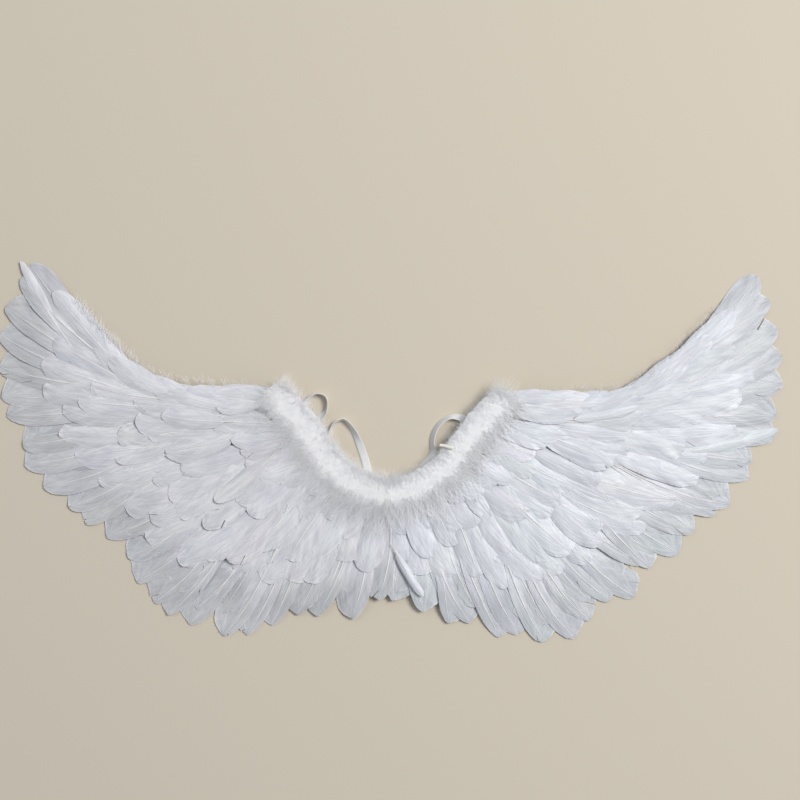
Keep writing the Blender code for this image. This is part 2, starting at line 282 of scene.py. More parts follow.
class Batch:
    """The points, faces, tints and grain coordinates of one piece, gathered bit by bit."""

    def __init__(self):
        self.points = []
        self.quads = []
        self.triangles = []
        self.tints = []
        self.grains = []
        self.count = 0

    def add(self, points, quads, tints, grains, triangles=None, flip=False):
        quads = np.asarray(quads, int).reshape(-1, 4)
        triangles = np.zeros((0, 3), int) if triangles is None else np.asarray(triangles, int).reshape(-1, 3)
        if flip:
            quads, triangles = quads[:, ::-1], triangles[:, ::-1]
        self.points.append(points)
        self.quads.append(quads + self.count)
        self.triangles.append(triangles + self.count)
        self.tints.append(np.broadcast_to(tints, (len(points), 3)))
        self.grains.append(np.broadcast_to(grains, (len(points), 3)))
        self.count += len(points)

    def mesh(self, name):
        points = np.vstack(self.points) * MM
        quads = np.vstack(self.quads)
        triangles = np.vstack(self.triangles)
        corners = np.concatenate([quads.ravel(), triangles.ravel()]).astype(np.int32)
        totals = np.concatenate([np.full(len(quads), 4), np.full(len(triangles), 3)])
        starts = np.concatenate([[0], np.cumsum(totals)[:-1]]).astype(np.int32)
        mesh = bpy.data.meshes.new(name)
        mesh.vertices.add(len(points))
        mesh.vertices.foreach_set("co", points.astype(np.float32).ravel())
        mesh.loops.add(len(corners))
        mesh.loops.foreach_set("vertex_index", corners)
        mesh.polygons.add(len(starts))
        mesh.polygons.foreach_set("loop_start", starts)
        mesh.update(calc_edges=True)
        tints = np.hstack([np.vstack(self.tints), np.ones((len(points), 1))]).astype(np.float32)
        mesh.attributes.new("tint", "FLOAT_COLOR", "POINT").data.foreach_set("color", tints.ravel())
        grains = np.vstack(self.grains).astype(np.float32)
        mesh.attributes.new("grain", "FLOAT_VECTOR", "POINT").data.foreach_set("vector", grains.ravel())
        return mesh

    def build(self, name, material, slot, body=None, bends=None, stands_for=(), sharp_degrees=50.0):
        """The finished piece, which rides on a body or else stays where it is made; bends is not used."""
        mesh = self.mesh(name)
        mesh.shade_smooth()
        mesh.set_sharp_from_angle(angle=math.radians(sharp_degrees))
        mesh.materials.append(material)
        obj = bpy.data.objects.new(name, mesh)
        bpy.context.scene.collection.objects.link(obj)
        if body:
            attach(obj, body)
        else:
            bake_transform(obj)
        if stands_for:
            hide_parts(*stands_for)
        return obj


def grid_faces(rows, columns, keep):
    """The quads of a grid's upper face, for points in rows one after another."""
    index = np.arange(rows * columns).reshape(rows, columns)
    return np.stack([index[:-1, :-1], index[1:, :-1], index[1:, 1:], index[:-1, 1:]], axis=-1)[keep]


def rim_edges(faces, count):
    """The edges that belong to one face only, for faces of points numbered below count."""
    edges = np.stack([faces, np.roll(faces, -1, axis=1)], axis=-1).reshape(-1, 2)
    ahead = edges[:, 0] * count + edges[:, 1]
    back = edges[:, 1] * count + edges[:, 0]
    return edges[~np.isin(back, ahead)]


def rim_walls(rim, count):
    """The quads between the rims of a sheet's two faces. The underside's points come count further on."""
    return np.stack([rim[:, 1], rim[:, 0], rim[:, 0] + count, rim[:, 1] + count], axis=1)


def ring_faces(rows, around):
    """The quads between rings of points, and the numbers of each ring's points and of those next to them."""
    index = np.arange(rows * around).reshape(rows, around)
    after = np.roll(index, -1, axis=1)
    return np.stack([index[:-1], after[:-1], after[1:], index[1:]], axis=-1).reshape(-1, 4), index, after


def closed_rings(rows, around):
    """The quads and end triangles of rings closed by two more points, at the first ring and at the last."""
    quads, index, after = ring_faces(rows, around)
    first, last = rows * around, rows * around + 1
    triangles = [(first, after[0, k], index[0, k]) for k in range(around)]
    triangles += [(last, index[-1, k], after[-1, k]) for k in range(around)]
    return quads, np.array(triangles)


def tube(centers, radii, sides=6, flatten=1.0):
    """Points and faces of a closed tube along centers; flatten shrinks it in its own up direction."""
    centers = np.asarray(centers, float)
    radii = np.broadcast_to(radii, len(centers))
    ahead = directions(centers)
    across = np.cross(np.broadcast_to(np.array([0.0, 0.0, 1.0]), ahead.shape), ahead)
    across /= np.maximum(np.linalg.norm(across, axis=1), 1e-6)[:, None]
    up = np.cross(ahead, across)
    turn = 2 * np.pi * np.arange(sides) / sides
    ring = (across[:, None, :] * np.cos(turn)[None, :, None]
            + flatten * up[:, None, :] * np.sin(turn)[None, :, None])
    points = centers[:, None, :] + radii[:, None, None] * ring
    points = np.vstack([points.reshape(-1, 3), centers[:1], centers[-1:]])
    return points, *closed_rings(len(centers), sides)


# ---- materials

class Surface:
    """A material being made, with its node tree and its shader."""

    def __init__(self, name, **constants):
        self.material = bpy.data.materials.new(name)
        self.material.use_nodes = True
        self.tree = self.material.node_tree
        self.shader = self.tree.nodes["Principled BSDF"]
        for socket, value in constants.items():
            self.shader.inputs[socket.replace("_", " ")].default_value = value

    def link(self, out, into):
        self.tree.links.new(out, into)

    def node(self, kind):
        return self.tree.nodes.new(kind)

    def attribute(self, name, output):
        node = self.node("ShaderNodeAttribute")
        node.attribute_name = name
        return node.outputs[output]

    def noise(self, source, scale, detail=2.0, roughness=0.5):
        """Noise read from a vector stretched by scale."""
        mapping = self.node("ShaderNodeMapping")
        mapping.inputs["Scale"].default_value = scale
        self.link(source, mapping.inputs["Vector"])
        noise = self.node("ShaderNodeTexNoise")
        noise.inputs["Scale"].default_value = 1.0
        noise.inputs["Detail"].default_value = detail
        noise.inputs["Roughness"].default_value = roughness
        self.link(mapping.outputs["Vector"], noise.inputs["Vector"])
        return noise.outputs["Fac"]

    def ramp(self, source, positions, low_color, high_color=(1.0, 1.0, 1.0)):
        node = self.node("ShaderNodeValToRGB")
        for element, position, color in zip(node.color_ramp.elements, positions, (low_color, high_color)):
            element.position = position
            element.color = (*color, 1.0)
        self.link(source, node.inputs["Fac"])
        return node.outputs["Color"]

    def multiply(self, a, b):
        node = self.node("ShaderNodeMix")
        node.data_type = "RGBA"
        node.blend_type = "MULTIPLY"
        node.inputs["Factor"].default_value = 1.0
        self.link(a, node.inputs["A"])
        self.link(b, node.inputs["B"])
        return node.outputs["Result"]

    def calculate(self, operation, a, b=None):
        """A Math node on a socket and, if given, another socket or a number."""
        node = self.node("ShaderNodeMath")
        node.operation = operation
        self.link(a, node.inputs[0])
        if isinstance(b, float):
            node.inputs[1].default_value = b
        elif b:
            self.link(b, node.inputs[1])
        return node.outputs["Value"]

    def color(self, source):
        self.link(source, self.shader.inputs["Base Color"])

    def bump(self, height, strength, distance):
        node = self.node("ShaderNodeBump")
        node.inputs["Strength"].default_value = strength
        node.inputs["Distance"].default_value = distance
        self.link(height, node.inputs["Height"])
        self.link(node.outputs["Normal"], self.shader.inputs["Normal"])


def feather_material():
    """Satin white vanes with fine barbs that run slantwise from the quill, with painted sheen in lengthwise
    streaks and painted light in broad patches.
    """
    made = Surface("goose_feather", Roughness=0.42, Specular_IOR_Level=0.42, Sheen_Weight=0.12,
                   Sheen_Roughness=0.4)
    grain = made.attribute("grain", "Vector")
    fine = made.noise(grain, (1.1, 0.04, 1.0), 3.0, 0.6)
    satin = made.noise(grain, (0.035, 0.42, 1.0), 3.0, 0.6)
    patches = made.noise(grain, (0.05, 0.07, 1.0))
    streaks = made.ramp(fine, (0.32, 0.68), (0.88, 0.88, 0.89))
    # Painted sheen: lengthwise streaks in the colour, which follow the bump's folds.
    lengthwise = made.ramp(satin, (0.34, 0.66), (0.83, 0.83, 0.845))
    # Painted light: broad patches of lighter and darker colour, as soft swells catch the light.
    broad = made.ramp(patches, (0.34, 0.66), (0.86, 0.86, 0.875))
    tint = made.attribute("tint", "Color")
    made.color(made.multiply(made.multiply(tint, streaks), made.multiply(lengthwise, broad)))
    made.bump(satin, 0.6, 0.0009)
    return made.material


def fluff_material():
    """Down strands, matt and nearly white, with a faint broad mottle."""
    made = Surface("white_marabou", Roughness=0.8, Specular_IOR_Level=0.25, Sheen_Weight=0.9,
                   Sheen_Roughness=0.6)
    tint = made.attribute("tint", "Color")
    lumps = made.noise(made.attribute("grain", "Vector"), (0.12, 0.12, 0.12))
    made.color(made.multiply(tint, made.ramp(lumps, (0.3, 0.7), (0.93, 0.93, 0.94))))
    return made.material


def felt_material():
    """Pressed fibres: a fine tangle with a broad mottle."""
    made = Surface("white_felt", Roughness=0.95, Specular_IOR_Level=0.15, Sheen_Weight=0.25)
    grain = made.attribute("grain", "Vector")
    fibre = made.noise(grain, (1.6, 1.6, 1.6), 6.0, 0.75)
    mottle = made.noise(grain, (0.06, 0.06, 0.06), 3.0)
    tangle = made.ramp(fibre, (0.32, 0.68), (0.66, 0.655, 0.64), (0.84, 0.835, 0.82))
    made.color(made.multiply(tangle, made.ramp(mottle, (0.3, 0.7), (0.94, 0.94, 0.93))))
    made.bump(fibre, 0.6, 0.0005)
    return made.material


WEAVE_PITCHES = (("X", 0.9), ("Y", 0.8))


def elastic_material():
    """Woven elastic: fine lengthwise ribs crossed by the weft, painted darker in the weave's hollows as
    shade.
    """
    made = Surface("white_elastic", Roughness=0.55)
    split = made.node("ShaderNodeSeparateXYZ")
    made.link(made.attribute("grain", "Vector"), split.inputs["Vector"])
    waves = []
    for axis, pitch in WEAVE_PITCHES:
        turns = made.calculate("MULTIPLY", split.outputs[axis], 2 * math.pi / pitch)
        waves.append(made.calculate("SINE", turns))
    height = made.node("ShaderNodeMapRange")
    height.inputs["From Min"].default_value = -1.0
    made.link(made.calculate("MULTIPLY", *waves), height.inputs["Value"])
    height = height.outputs["Result"]
    # Painted shade: the colour follows the weave's height, darker in its hollows.
    made.color(made.ramp(height, (0.1, 0.8), (0.80, 0.81, 0.83), (0.93, 0.94, 0.95)))
    made.bump(height, 0.5, 0.0003)
    return made.material


def tinted_material(name, roughness, metallic, scale, shade):
    """A surface with its own tint, a fine grain and shallow bumps."""
    made = Surface(name, Roughness=roughness, Metallic=metallic)
    fine = made.noise(made.attribute("grain", "Vector"), scale, 4.0, 0.6)
    grained = made.ramp(fine, (0.3, 0.7), (shade, shade, shade))
    made.color(made.multiply(made.attribute("tint", "Color"), grained))
    made.bump(fine, 0.3, 0.0002)
    return made.material


FEATHER = feather_material()
FLUFF = fluff_material()
FELT = felt_material()
ELASTIC = elastic_material()
THREAD = tinted_material("sewing_thread", 0.6, 0.0, (6.0, 6.0, 6.0), 0.75)
CARD = tinted_material("white_card", 0.9, 0.0, (1.2, 1.2, 1.2), 0.85)
STEEL = tinted_material("frame_steel", 0.38, 1.0, (0.2, 3.0, 3.0), 0.8)


# ---- one feather

VANE_THICK = 0.28
VANE_END = 0.992  # where the last barb starts, as a share of the feather's length
SOFT_REST = 0.5  # over what height a vane eases off where it touches down
BACKING_TOP = 5.9  # what the vanes rest on over the boards and the frame wires
BACKING_SLOPE = 14.0  # how far outside the backing a vane can reach the floor
STATION_STEP = 3.0  # between the barbs that the mesh follows
FEWEST_STATIONS = 14
VANE_RISE = 0.07  # over what share of its length a vane widens from nothing to its base
BROAD_BASE, NARROW_BASE = 0.36, 0.46  # a vane's width near its start, as a share of its widest
PEAK_SHIFT = 0.35  # how much nearer the tip the broader vane is widest
CLUMP_NOTCH = 0.03  # how much shorter the barbs are between two clumps
SPLITS_A_SIDE = 0.25
BARB_SHARES = np.array([0.0, 0.2, 0.42, 0.64, 0.83, 0.95, 1.0])  # mesh points along a barb
BARB_DEGREES = (42.0, 18.0)  # between barb and quill, at the vane's start and at its tip
SPLIT_SHUT = 1.45  # how far a split's two sides close up again at its inner end
SPLIT_OPENING = 0.8  # how far they open again at the vane's edge
SPLIT_FADE = 4.0  # over how many stations that movement fades
QUILL_STATIONS = 16
QUILL_END = 0.975
QUILL_SIDES, QUILL_FLATTEN = 6, 0.8
QUILL_RAISED = 0.25  # how far the quill's middle is above the vane, as a share of its radius
QUILL_TIP_SHARE = 0.14  # a quill's radius at its tip, as a share of the one at its root
TWIST_DEGREES = 3.0
LOOSE_SPREAD, LOOSE_RADIUS = 0.12, 0.15
RIM_FROM, RIM_FROM_LENGTH = 0.96, 0.55  # where the painted highlight along the rim starts, along a barb and along the feather
GRAIN_SPAN = 500  # from how far apart the feathers' grains are drawn


@dataclass
class Style:
    """What kind of feather to make. Lengths are in millimetres, angles in degrees."""

    length: float
    width: float
    tint: np.ndarray
    wide_share: float = 0.5  # the left vane's share of the width
    bare: float = 0.16  # the part of the quill without a vane
    curve: float = 0.0  # how far the quill turns sideways
    cup: float = 90.0  # radius across the vane
    arch: float = 1.0
    tip_lift: float = 0.0
    splits: float = 1.0
    quill: float = 1.0  # radius at the root
    quill_tint: np.ndarray = None
    peak: float = 0.7  # where the vane is widest
    ragged: float = 0.010
    wave: float = 0.3
    clump: float = 0.35
    loose: int = 10  # single barbs that have come away
    thin_from: float = 2.0  # from where to where its colour turns to that of a single layer
    thin_to: float = 3.0


def half_width(t, peak, base):
    """A vane's half width as a share of its widest, at t from its start to its tip."""
    rise = 1 - np.exp(-np.clip(t, 0, 1) / VANE_RISE)
    body = base + (1 - base) * np.sin(np.pi / 2 * np.clip(t / peak, 0, 1))
    past = np.clip((t - peak) / (1 - peak), 0, 1)
    return rise * body * np.sqrt(1 - past**2)


def barb_lengths(starts, turn, vane_start, length, width, peak, base):
    """How long each barb is before it meets the vane's outline, found by halving."""
    low = np.zeros(len(starts))
    high = np.full(len(starts), length)
    for _ in range(20):
        middle = (low + high) / 2
        t = (starts + middle * np.cos(turn) - vane_start) / (length - vane_start)
        outside = (middle * np.sin(turn) > width * half_width(t, peak, base)) | (t >= 1)
        high = np.where(outside, middle, high)
        low = np.where(outside, low, middle)
    return low


def place_in_clump(rng, share):
    """Where each barb lies in its clump, from 0 to 1, as barbs hook together in a few clumps."""
    bounds = np.sort(rng.uniform(0.08, 0.97, rng.integers(2, 6)))
    which = np.searchsorted(bounds, share)
    start = np.concatenate([[0.0], bounds])[which]
    end = np.concatenate([bounds, [1.0]])[which]
    return (share - start) / np.maximum(end - start, 1e-3)


def cut_splits(rng, style, keep, side):
    """Takes cells out of a vane's side, and gives how far each barb moves as a whole and at its end."""
    stations = len(keep) + 1
    middle = keep.shape[1] // 2
    count = np.arange(stations)
    shut = np.zeros(stations)
    gape = np.zeros(stations)
    for _ in range(rng.poisson(style.splits * SPLITS_A_SIDE)):
        split = int(rng.uniform(0.3, 0.9) * stations)
        depth = int(rng.integers(2, 6))
        opening = SPLIT_OPENING * rng.uniform(0.5, 1.3)
        toward = np.where(count > split, -1.0, 1.0) * np.exp(-np.abs(count - split - 0.5) / SPLIT_FADE)
        shut += SPLIT_SHUT * toward
        gape -= opening * toward
        cells = slice(middle + depth, None) if side > 0 else slice(0, middle - depth)
        keep[min(split, stations - 2), cells] = False
    return np.clip(shut, -SPLIT_SHUT, SPLIT_SHUT), gape


def vane_grid(rng, style):
    """The flat vane: points by station and column, which cells are there, and each point's barb share."""
    vane_start = style.bare * style.length
    stations = max(FEWEST_STATIONS, int((style.length - vane_start) / STATION_STEP))
    share = np.linspace(0, 1, stations)
    starts = between((vane_start, VANE_END * style.length), share)
    turn = np.radians(between(BARB_DEGREES, share) + rng.normal(0, 0.8, stations))
    middle = len(BARB_SHARES) - 1
    points = np.zeros((stations, 2 * middle + 1, 3))
    keep = np.ones((stations - 1, 2 * middle), bool)
    barb = np.zeros((stations, 2 * middle + 1))
    lift = rng.normal(0, 0.02, stations)
    for side in (-1, 1):
        wide = style.wide_share if side > 0 else 1 - style.wide_share
        base = BROAD_BASE if wide >= 0.5 else NARROW_BASE
        peak = style.peak + PEAK_SHIFT * (wide - 0.5)
        reach = barb_lengths(starts, turn, vane_start, style.length, wide * style.width, peak, base)
        swell = style.wave * (np.sin(share * rng.uniform(9, 16) + rng.uniform(0, 6))
                              + 0.6 * np.sin(share * rng.uniform(20, 34) + rng.uniform(0, 6)))
        reach = reach * (1 - style.ragged * np.abs(rng.normal(0, 1, stations)))
        in_clump = place_in_clump(rng, share)
        swell += style.clump * (in_clump - 0.5)
        reach = reach * (1 - CLUMP_NOTCH * np.abs(2 * in_clump - 1) ** 3)
        shut, gape = cut_splits(rng, style, keep, side)
        for k, part in enumerate(BARB_SHARES):
            column = middle + side * k
            moved = shut * min(1.0, part / BARB_SHARES[1]) + gape * part**2
            points[:, column, 0] = starts + reach * np.cos(turn) * part**1.12 + moved
            points[:, column, 1] = side * reach * np.sin(turn) * part
            points[:, column, 2] = (lift + swell) * part**1.5
            barb[:, column] = part
    return points, keep, barb


def curl(points, style, twist):
    """Cups the flat feather across its quill, arches it and bends its quill sideways."""
    x, y, z = points.T
    length = style.length
    t = np.clip(x / length, 0, 1.05)
    turn = y / style.cup
    y2 = (style.cup + z) * np.sin(turn)
    z2 = (style.cup + z) * np.cos(turn) - style.cup
    lean = np.radians(twist) * (t - 0.4)
    z2 = z2 + y2 * np.tan(lean)
    z2 = z2 + style.arch * 4 * t * (1 - t) + style.tip_lift * t**3
    fine = np.linspace(0, 1.06, 60)
    heading = np.radians(style.curve) * fine**1.6
    step = length * (fine[1] - fine[0])
    cx = np.concatenate([[0], np.cumsum(np.cos(heading[:-1]) * step)])
    cy = np.concatenate([[0], np.cumsum(np.sin(heading[:-1]) * step)])
    chord = math.atan2(np.interp(1, fine, cy), np.interp(1, fine, cx))
    h = np.interp(t, fine, heading)
    px = np.interp(t, fine, cx) - y2 * np.sin(h)
    py = np.interp(t, fine, cy) + y2 * np.cos(h)
    return np.stack([px * math.cos(chord) + py * math.sin(chord),
                     -px * math.sin(chord) + py * math.cos(chord), z2], axis=1)


def loose_barbs(rng, style, grid):
    """A few single barbs that have come away from the vane's edges, most of them near its downy base."""
    rows, columns, _ = grid.shape
    count = style.loose
    row = np.minimum((rng.beta(1.0, 1.6, count) * rows).astype(int), rows - 2)
    edge = np.where(rng.random(count) < 0.5, 0, columns - 1)
    inner = np.where(edge == 0, 2, columns - 3)
    start = grid[row, inner]
    reach = grid[row, edge] - start
    end = start + reach * rng.uniform(1.1, 2.2, (count, 1)) + rng.normal(0, 1.6, (count, 3))
    end[:, 2] = rng.uniform(0.2, 1.4, count)
    start = start + (0, 0, 0.1)
    points, quads, triangles, _ = strands(rng, start, end, 0.0, LOOSE_SPREAD, LOOSE_RADIUS)
    return points, quads, triangles


def lay_down(points, own_height, root, ahead, level, low, tilt, rest_floor):
    """A feather's points in place on its layer, eased off where they would sink into what is below."""
    x = root[0] + points[:, 0] * ahead[0] - points[:, 1] * ahead[1]
    y = root[1] + points[:, 0] * ahead[1] + points[:, 1] * ahead[0]
    z = points[:, 2] - points[:, 1] * math.tan(math.radians(tilt)) - own_height
    z += lie_height(x, y, level, low)
    on_backing = 1 - smoothstep((LIE.outside(x, y) + 1.0) / BACKING_SLOPE)
    rest = rest_floor + (BACKING_TOP - 0.4 * rest_floor) * on_backing
    z = rest + SOFT_REST * np.logaddexp(0, (z - rest) / SOFT_REST) + own_height
    return np.stack([x, y, np.maximum(z, 0.1)], axis=1)


def feather_tints(style, top, barb, quill_x, loose_count):
    """The colours of a feather's upper face, underside, quill and loose barbs, in this order."""
    t = np.clip(top[:, 0] / style.length, 0, 1)
    thin = smoothstep((t - style.thin_from) / (style.thin_to - style.thin_from))
    tint = style.tint * (1 - thin[:, None] * (1 - THIN))
    # Painted highlight: the vane's outer edge on its far half is made brighter.
    at_highlight = (barb > RIM_FROM) & (t > RIM_FROM_LENGTH)
    tint = np.where(at_highlight[:, None], style.tint * RIM_HIGHLIGHT, tint)
    quill_t = np.clip(quill_x / style.length / style.bare, 0, 1)[:, None]
    quill_pale = QUILL_PALE if style.quill_tint is None else style.quill_tint
    quill_tint = QUILL_ROOT * (1 - quill_t) + quill_pale * quill_t
    loose_tint = np.broadcast_to(style.tint * LOOSE_SHADE, (loose_count, 3))
    return np.vstack([tint, tint * UNDERSIDE_SHADE, quill_tint, loose_tint])


def add_feather(batch, rng, style, tip, degrees, level, low, side, tilt=0.0, rest_floor=REST_LOWEST):
    """Adds one feather whose tip is at this place of the right wing, mirrored where side is -1."""
    points, keep, barb = vane_grid(rng, style)
    rows, columns = barb.shape
    top = points.reshape(-1, 3)
    count = len(top)
    quill_x = np.linspace(0, QUILL_END, QUILL_STATIONS) * style.length
    radii = style.quill * (QUILL_TIP_SHARE + (1 - QUILL_TIP_SHARE) * (1 - quill_x / style.length) ** 0.9)
    quill_line = np.stack([quill_x, np.zeros(QUILL_STATIONS), QUILL_RAISED * radii], axis=1)
    quill_points, quill_quads, quill_triangles = tube(quill_line, radii, QUILL_SIDES, QUILL_FLATTEN)
    twist = rng.normal(0, TWIST_DEGREES)
    loose_points, loose_quads, loose_triangles = loose_barbs(rng, style, points)
    flat = np.vstack([top, top - (0, 0, VANE_THICK), quill_points, loose_points])
    own_height = np.concatenate([np.zeros(count), np.full(count, -VANE_THICK), flat[2 * count:, 2]])
    turn = math.radians(degrees)
    ahead = np.array([math.cos(turn), math.sin(turn)])
    root = np.array(tip, float) - style.length * ahead
    placed = lay_down(curl(flat, style, twist), own_height, root, ahead, level, low, tilt, rest_floor)
    placed[:, 0] *= side
    upper = grid_faces(rows, columns, keep)
    under, walls = upper[:, ::-1] + count, rim_walls(rim_edges(upper, count), count)
    station = np.repeat(np.arange(rows), columns)
    share = barb.reshape(-1)
    grain = np.stack([station * STATION_STEP + rng.uniform(0, GRAIN_SPAN), share * style.width / 2,
                      np.full(count, rng.uniform(0, GRAIN_SPAN))], axis=1)
    after_quill = 2 * count + len(quill_points)
    faces = np.vstack([upper, under, walls, quill_quads + 2 * count, loose_quads + after_quill])
    triangles = np.vstack([quill_triangles + 2 * count, loose_triangles + after_quill])
    tints = feather_tints(style, top, share, quill_points[:, 0], len(loose_points))
    batch.add(placed, faces, tints, np.vstack([grain, grain, quill_points, loose_points]), triangles,
              flip=side < 0)


# ---- the rows

def row_tint(rng, side_name):
    # The left wing's tint from PALE carries painted shade.
    return PALE[side_name] * rng.uniform(0.92, 1.0) * (1 + rng.normal(0, 0.006, 3))


def row_style(rng, name, side_name, length, width):
    """The feathers of the outer row are large and one-sided, those of the inner rows soft ovals."""
    tint = row_tint(rng, side_name)
    if name == "outer":
        return Style(length, width, tint, wide_share=rng.uniform(0.66, 0.80), bare=0.14,
                     curve=rng.uniform(10, 30), cup=rng.uniform(34, 80), arch=rng.uniform(0.3, 1.4),
                     tip_lift=rng.uniform(-0.4, 1.4), splits=1.6, quill=rng.uniform(1.3, 1.7),
                     peak=rng.uniform(0.74, 0.84), ragged=0.012, wave=rng.uniform(0.15, 0.4), clump=0.2,
                     thin_from=0.5, thin_to=0.75)
    bright_quill = rng.random() < (0.4 if side_name == "right" else 0.25)
    return Style(length, width, tint, wide_share=rng.uniform(0.46, 0.64), bare=0.14,
                 curve=rng.uniform(-10, 22), cup=rng.uniform(24, 70), arch=rng.uniform(0.4, 2.0),
                 tip_lift=rng.uniform(-0.8, 1.0), splits=0.8,
                 quill=rng.uniform(1.0, 1.3) if bright_quill else rng.uniform(0.3, 0.5),
                 peak=rng.uniform(0.6, 0.8), ragged=0.012, wave=rng.uniform(0.2, 0.6),
                 clump=rng.uniform(0.05, 0.35), loose=14,
                 quill_tint=None if bright_quill else tint * DARK_QUILL_SHADE)


def add_row(batch, rng, row, side_name, count, shorter=0.0, lower=0.0):
    """Feathers from a row's tips back to its roots, each with its own small differences."""
    name, tips, roots, _, lengths, widths, levels, low, stray = row
    tip_line = smooth(tips)
    root_line = smooth(roots)
    for i in range(count):
        share = (i + 0.5 + rng.uniform(-0.28, 0.28)) / count
        tip = along(tip_line, share)
        ahead = tip - along(root_line, share)
        reach = np.linalg.norm(ahead)
        ahead = ahead / reach
        degrees = math.degrees(math.atan2(ahead[1], ahead[0])) + rng.normal(0, 4.2)
        shift = rng.uniform(*stray) - shorter
        length = between(lengths, share) * rng.uniform(0.92, 1.06)
        length = min(length, reach + shift + ROOT_MARGIN)
        width = between(widths, share) * rng.uniform(0.8, 1.15)
        style = row_style(rng, name, side_name, length, width)
        tilt = ROW_TILT * min(1.0, (count - 0.5 - i) / 2.0)
        rest = REST_LOWEST + REST_STEP * (i % 3) + REST_UNDER * (shorter > 0)
        add_feather(batch, rng, style, tip + ahead * shift, degrees, between(levels, share) - lower,
                    low - 0.5 * lower, SIDES[side_name], tilt, rest)


def build_row(number, side_name, side):
    row = ROWS[number]
    name, feathers = row[0], row[3]
    rng = draws(100 * number + 7, side)
    batch = Batch()
    if name == "outer":
        add_row(batch, rng, row, side_name, UNDER_FEATHERS, UNDER_SHORTER, UNDER_LOWER)
    add_row(batch, rng, row, side_name, feathers)
    nodes = (f"{side_name}_{name}_feathers", f"center_{name}_feathers") if name != "neck" else ()
    batch.build(f"{side_name}_{name}_row", FEATHER, "feather", bends=side_name, stands_for=nodes)


def build_edge_row(side_name, side):
    """Slender feathers side by side with the leading edge, and the odd ones that lie across the others."""
    rng = draws(41, side)
    batch = Batch()
    for x, y, degrees, length, width, level in EDGE_FEATHERS:
        style = Style(length * rng.uniform(0.94, 1.06), width * rng.uniform(0.9, 1.1), None, bare=0.1,
                      wide_share=rng.uniform(0.44, 0.6), curve=rng.uniform(-8, 10), cup=rng.uniform(18, 34),
                      arch=rng.uniform(0.6, 1.6), tip_lift=0.2, splits=0.4, quill=rng.uniform(0.4, 0.7),
                      peak=rng.uniform(0.5, 0.66), clump=0.1, loose=18)
        style.tint = row_tint(rng, side_name) * SLENDER_SHADE
        tip = (x + rng.normal(0, 2.5), y + rng.normal(0, 1.2))
        add_feather(batch, rng, style, tip, degrees + rng.normal(0, 1.5), level, EDGE_LOW, side)
    for x, y, degrees, length, width, cup, peak, level, low in LOOSE_FEATHERS[side_name]:
        style = Style(length, width, row_tint(rng, side_name) * SLENDER_SHADE, wide_share=0.55, bare=0.12,
                      curve=12.0, cup=cup, arch=1.2, tip_lift=0.4, splits=0.0, quill=0.7, peak=peak, wave=0.2,
                      clump=0.1, loose=8)
        add_feather(batch, rng, style, (x, y), degrees, level, low, side, rest_floor=REST_LOOSE)
    batch.build(f"{side_name}_edge_row", FEATHER, "feather", bends=side_name)


def build_tip_feathers(side_name, side):
    rng = draws(31, side)
    for number, (x, y, degrees, length, width) in enumerate(TIP_FEATHERS):
        batch = Batch()
        style = Style(length, width, None, wide_share=0.7 if number else 0.5, curve=rng.uniform(4, 20),
                      cup=rng.uniform(35, 70), arch=0.8, tip_lift=rng.uniform(0, 1), splits=1.4,
                      quill=1.6, peak=0.8, ragged=0.012, thin_from=0.5, thin_to=0.8)
        style.tint = row_tint(rng, side_name)
        tip = (x + rng.normal(0, 2), y + rng.normal(0, 2))
        add_feather(batch, rng, style, tip, degrees + rng.normal(0, 1.5), TIP_LEVEL, TIP_LOW, side, TIP_TILT,
                    REST_LOWEST + REST_STEP * (number % 3))
        batch.build(f"{side_name}_primary_{number + 1}", FEATHER, "feather", body=f"{side_name}_wing",
                    stands_for=[f"{side_name}_tip_feather_{number + 1}"])


# ---- fluff

STRAND_SEGMENTS = 4
LOWEST_STRAND = 0.4
STRAND_ROOT_PAINTED_SHADE, SHADE_RISE = 0.96, 0.04  # a strand's painted shade at its root, where it lies among the others, and how much it rises
TAPER = 0.85  # how much thinner a strand is at its tip
SMOOTHER_DEGREES = 80.0  # edges sharper than this stay sharp on the fluff

ROLL_HALF_WIDTH = 17.0
ROLL_MIDDLE_Z = 12.8
ROLL_HALF_HEIGHT = 2.9
ROLL_RINGS = (300, 28)
ROLL_WAVES = 9
ROLL_LUMPS = 0.25  # how much the lumps change its radius
# The fluff's bunches: name, strands, how far from the band's middle they start, length, radius, steepest rise
# as a share of a half turn.
FLUFF_PARTS = [
    ("under", 1900, (9.5, 16.0), 10.5, 0.10, 0.12),
    ("middle", 1300, (2.0, 12.0), 13.0, 0.11, 0.16),
    ("upper", 1500, (-2.0, 13.0), 8.0, 0.11, 0.45),
]
WISPS = 1500
WISP_LENGTH = 32.0
WISP_Z = 14.2
# How far the strands reach over the neckline, as a share of the others, at the middle and along each half.
NECK_SIDE_REACH = {"left": (1.2, 1.05), "right": (1.15, 0.85)}
# How many strands fan out at the band's end, and their greatest length.
END_WISPS = {"left": (260, 18.0), "right": (420, 24.0)}
# Down along the leading edge: (from share, to share of the edge line, strands, length).
EDGE_DOWN = {"left": [(0.16, 0.52, 420, 8.0), (0.5, 0.98, 160, 6.0)],
             "right": [(0.1, 0.35, 70, 5.0), (0.35, 0.98, 150, 6.0)]}


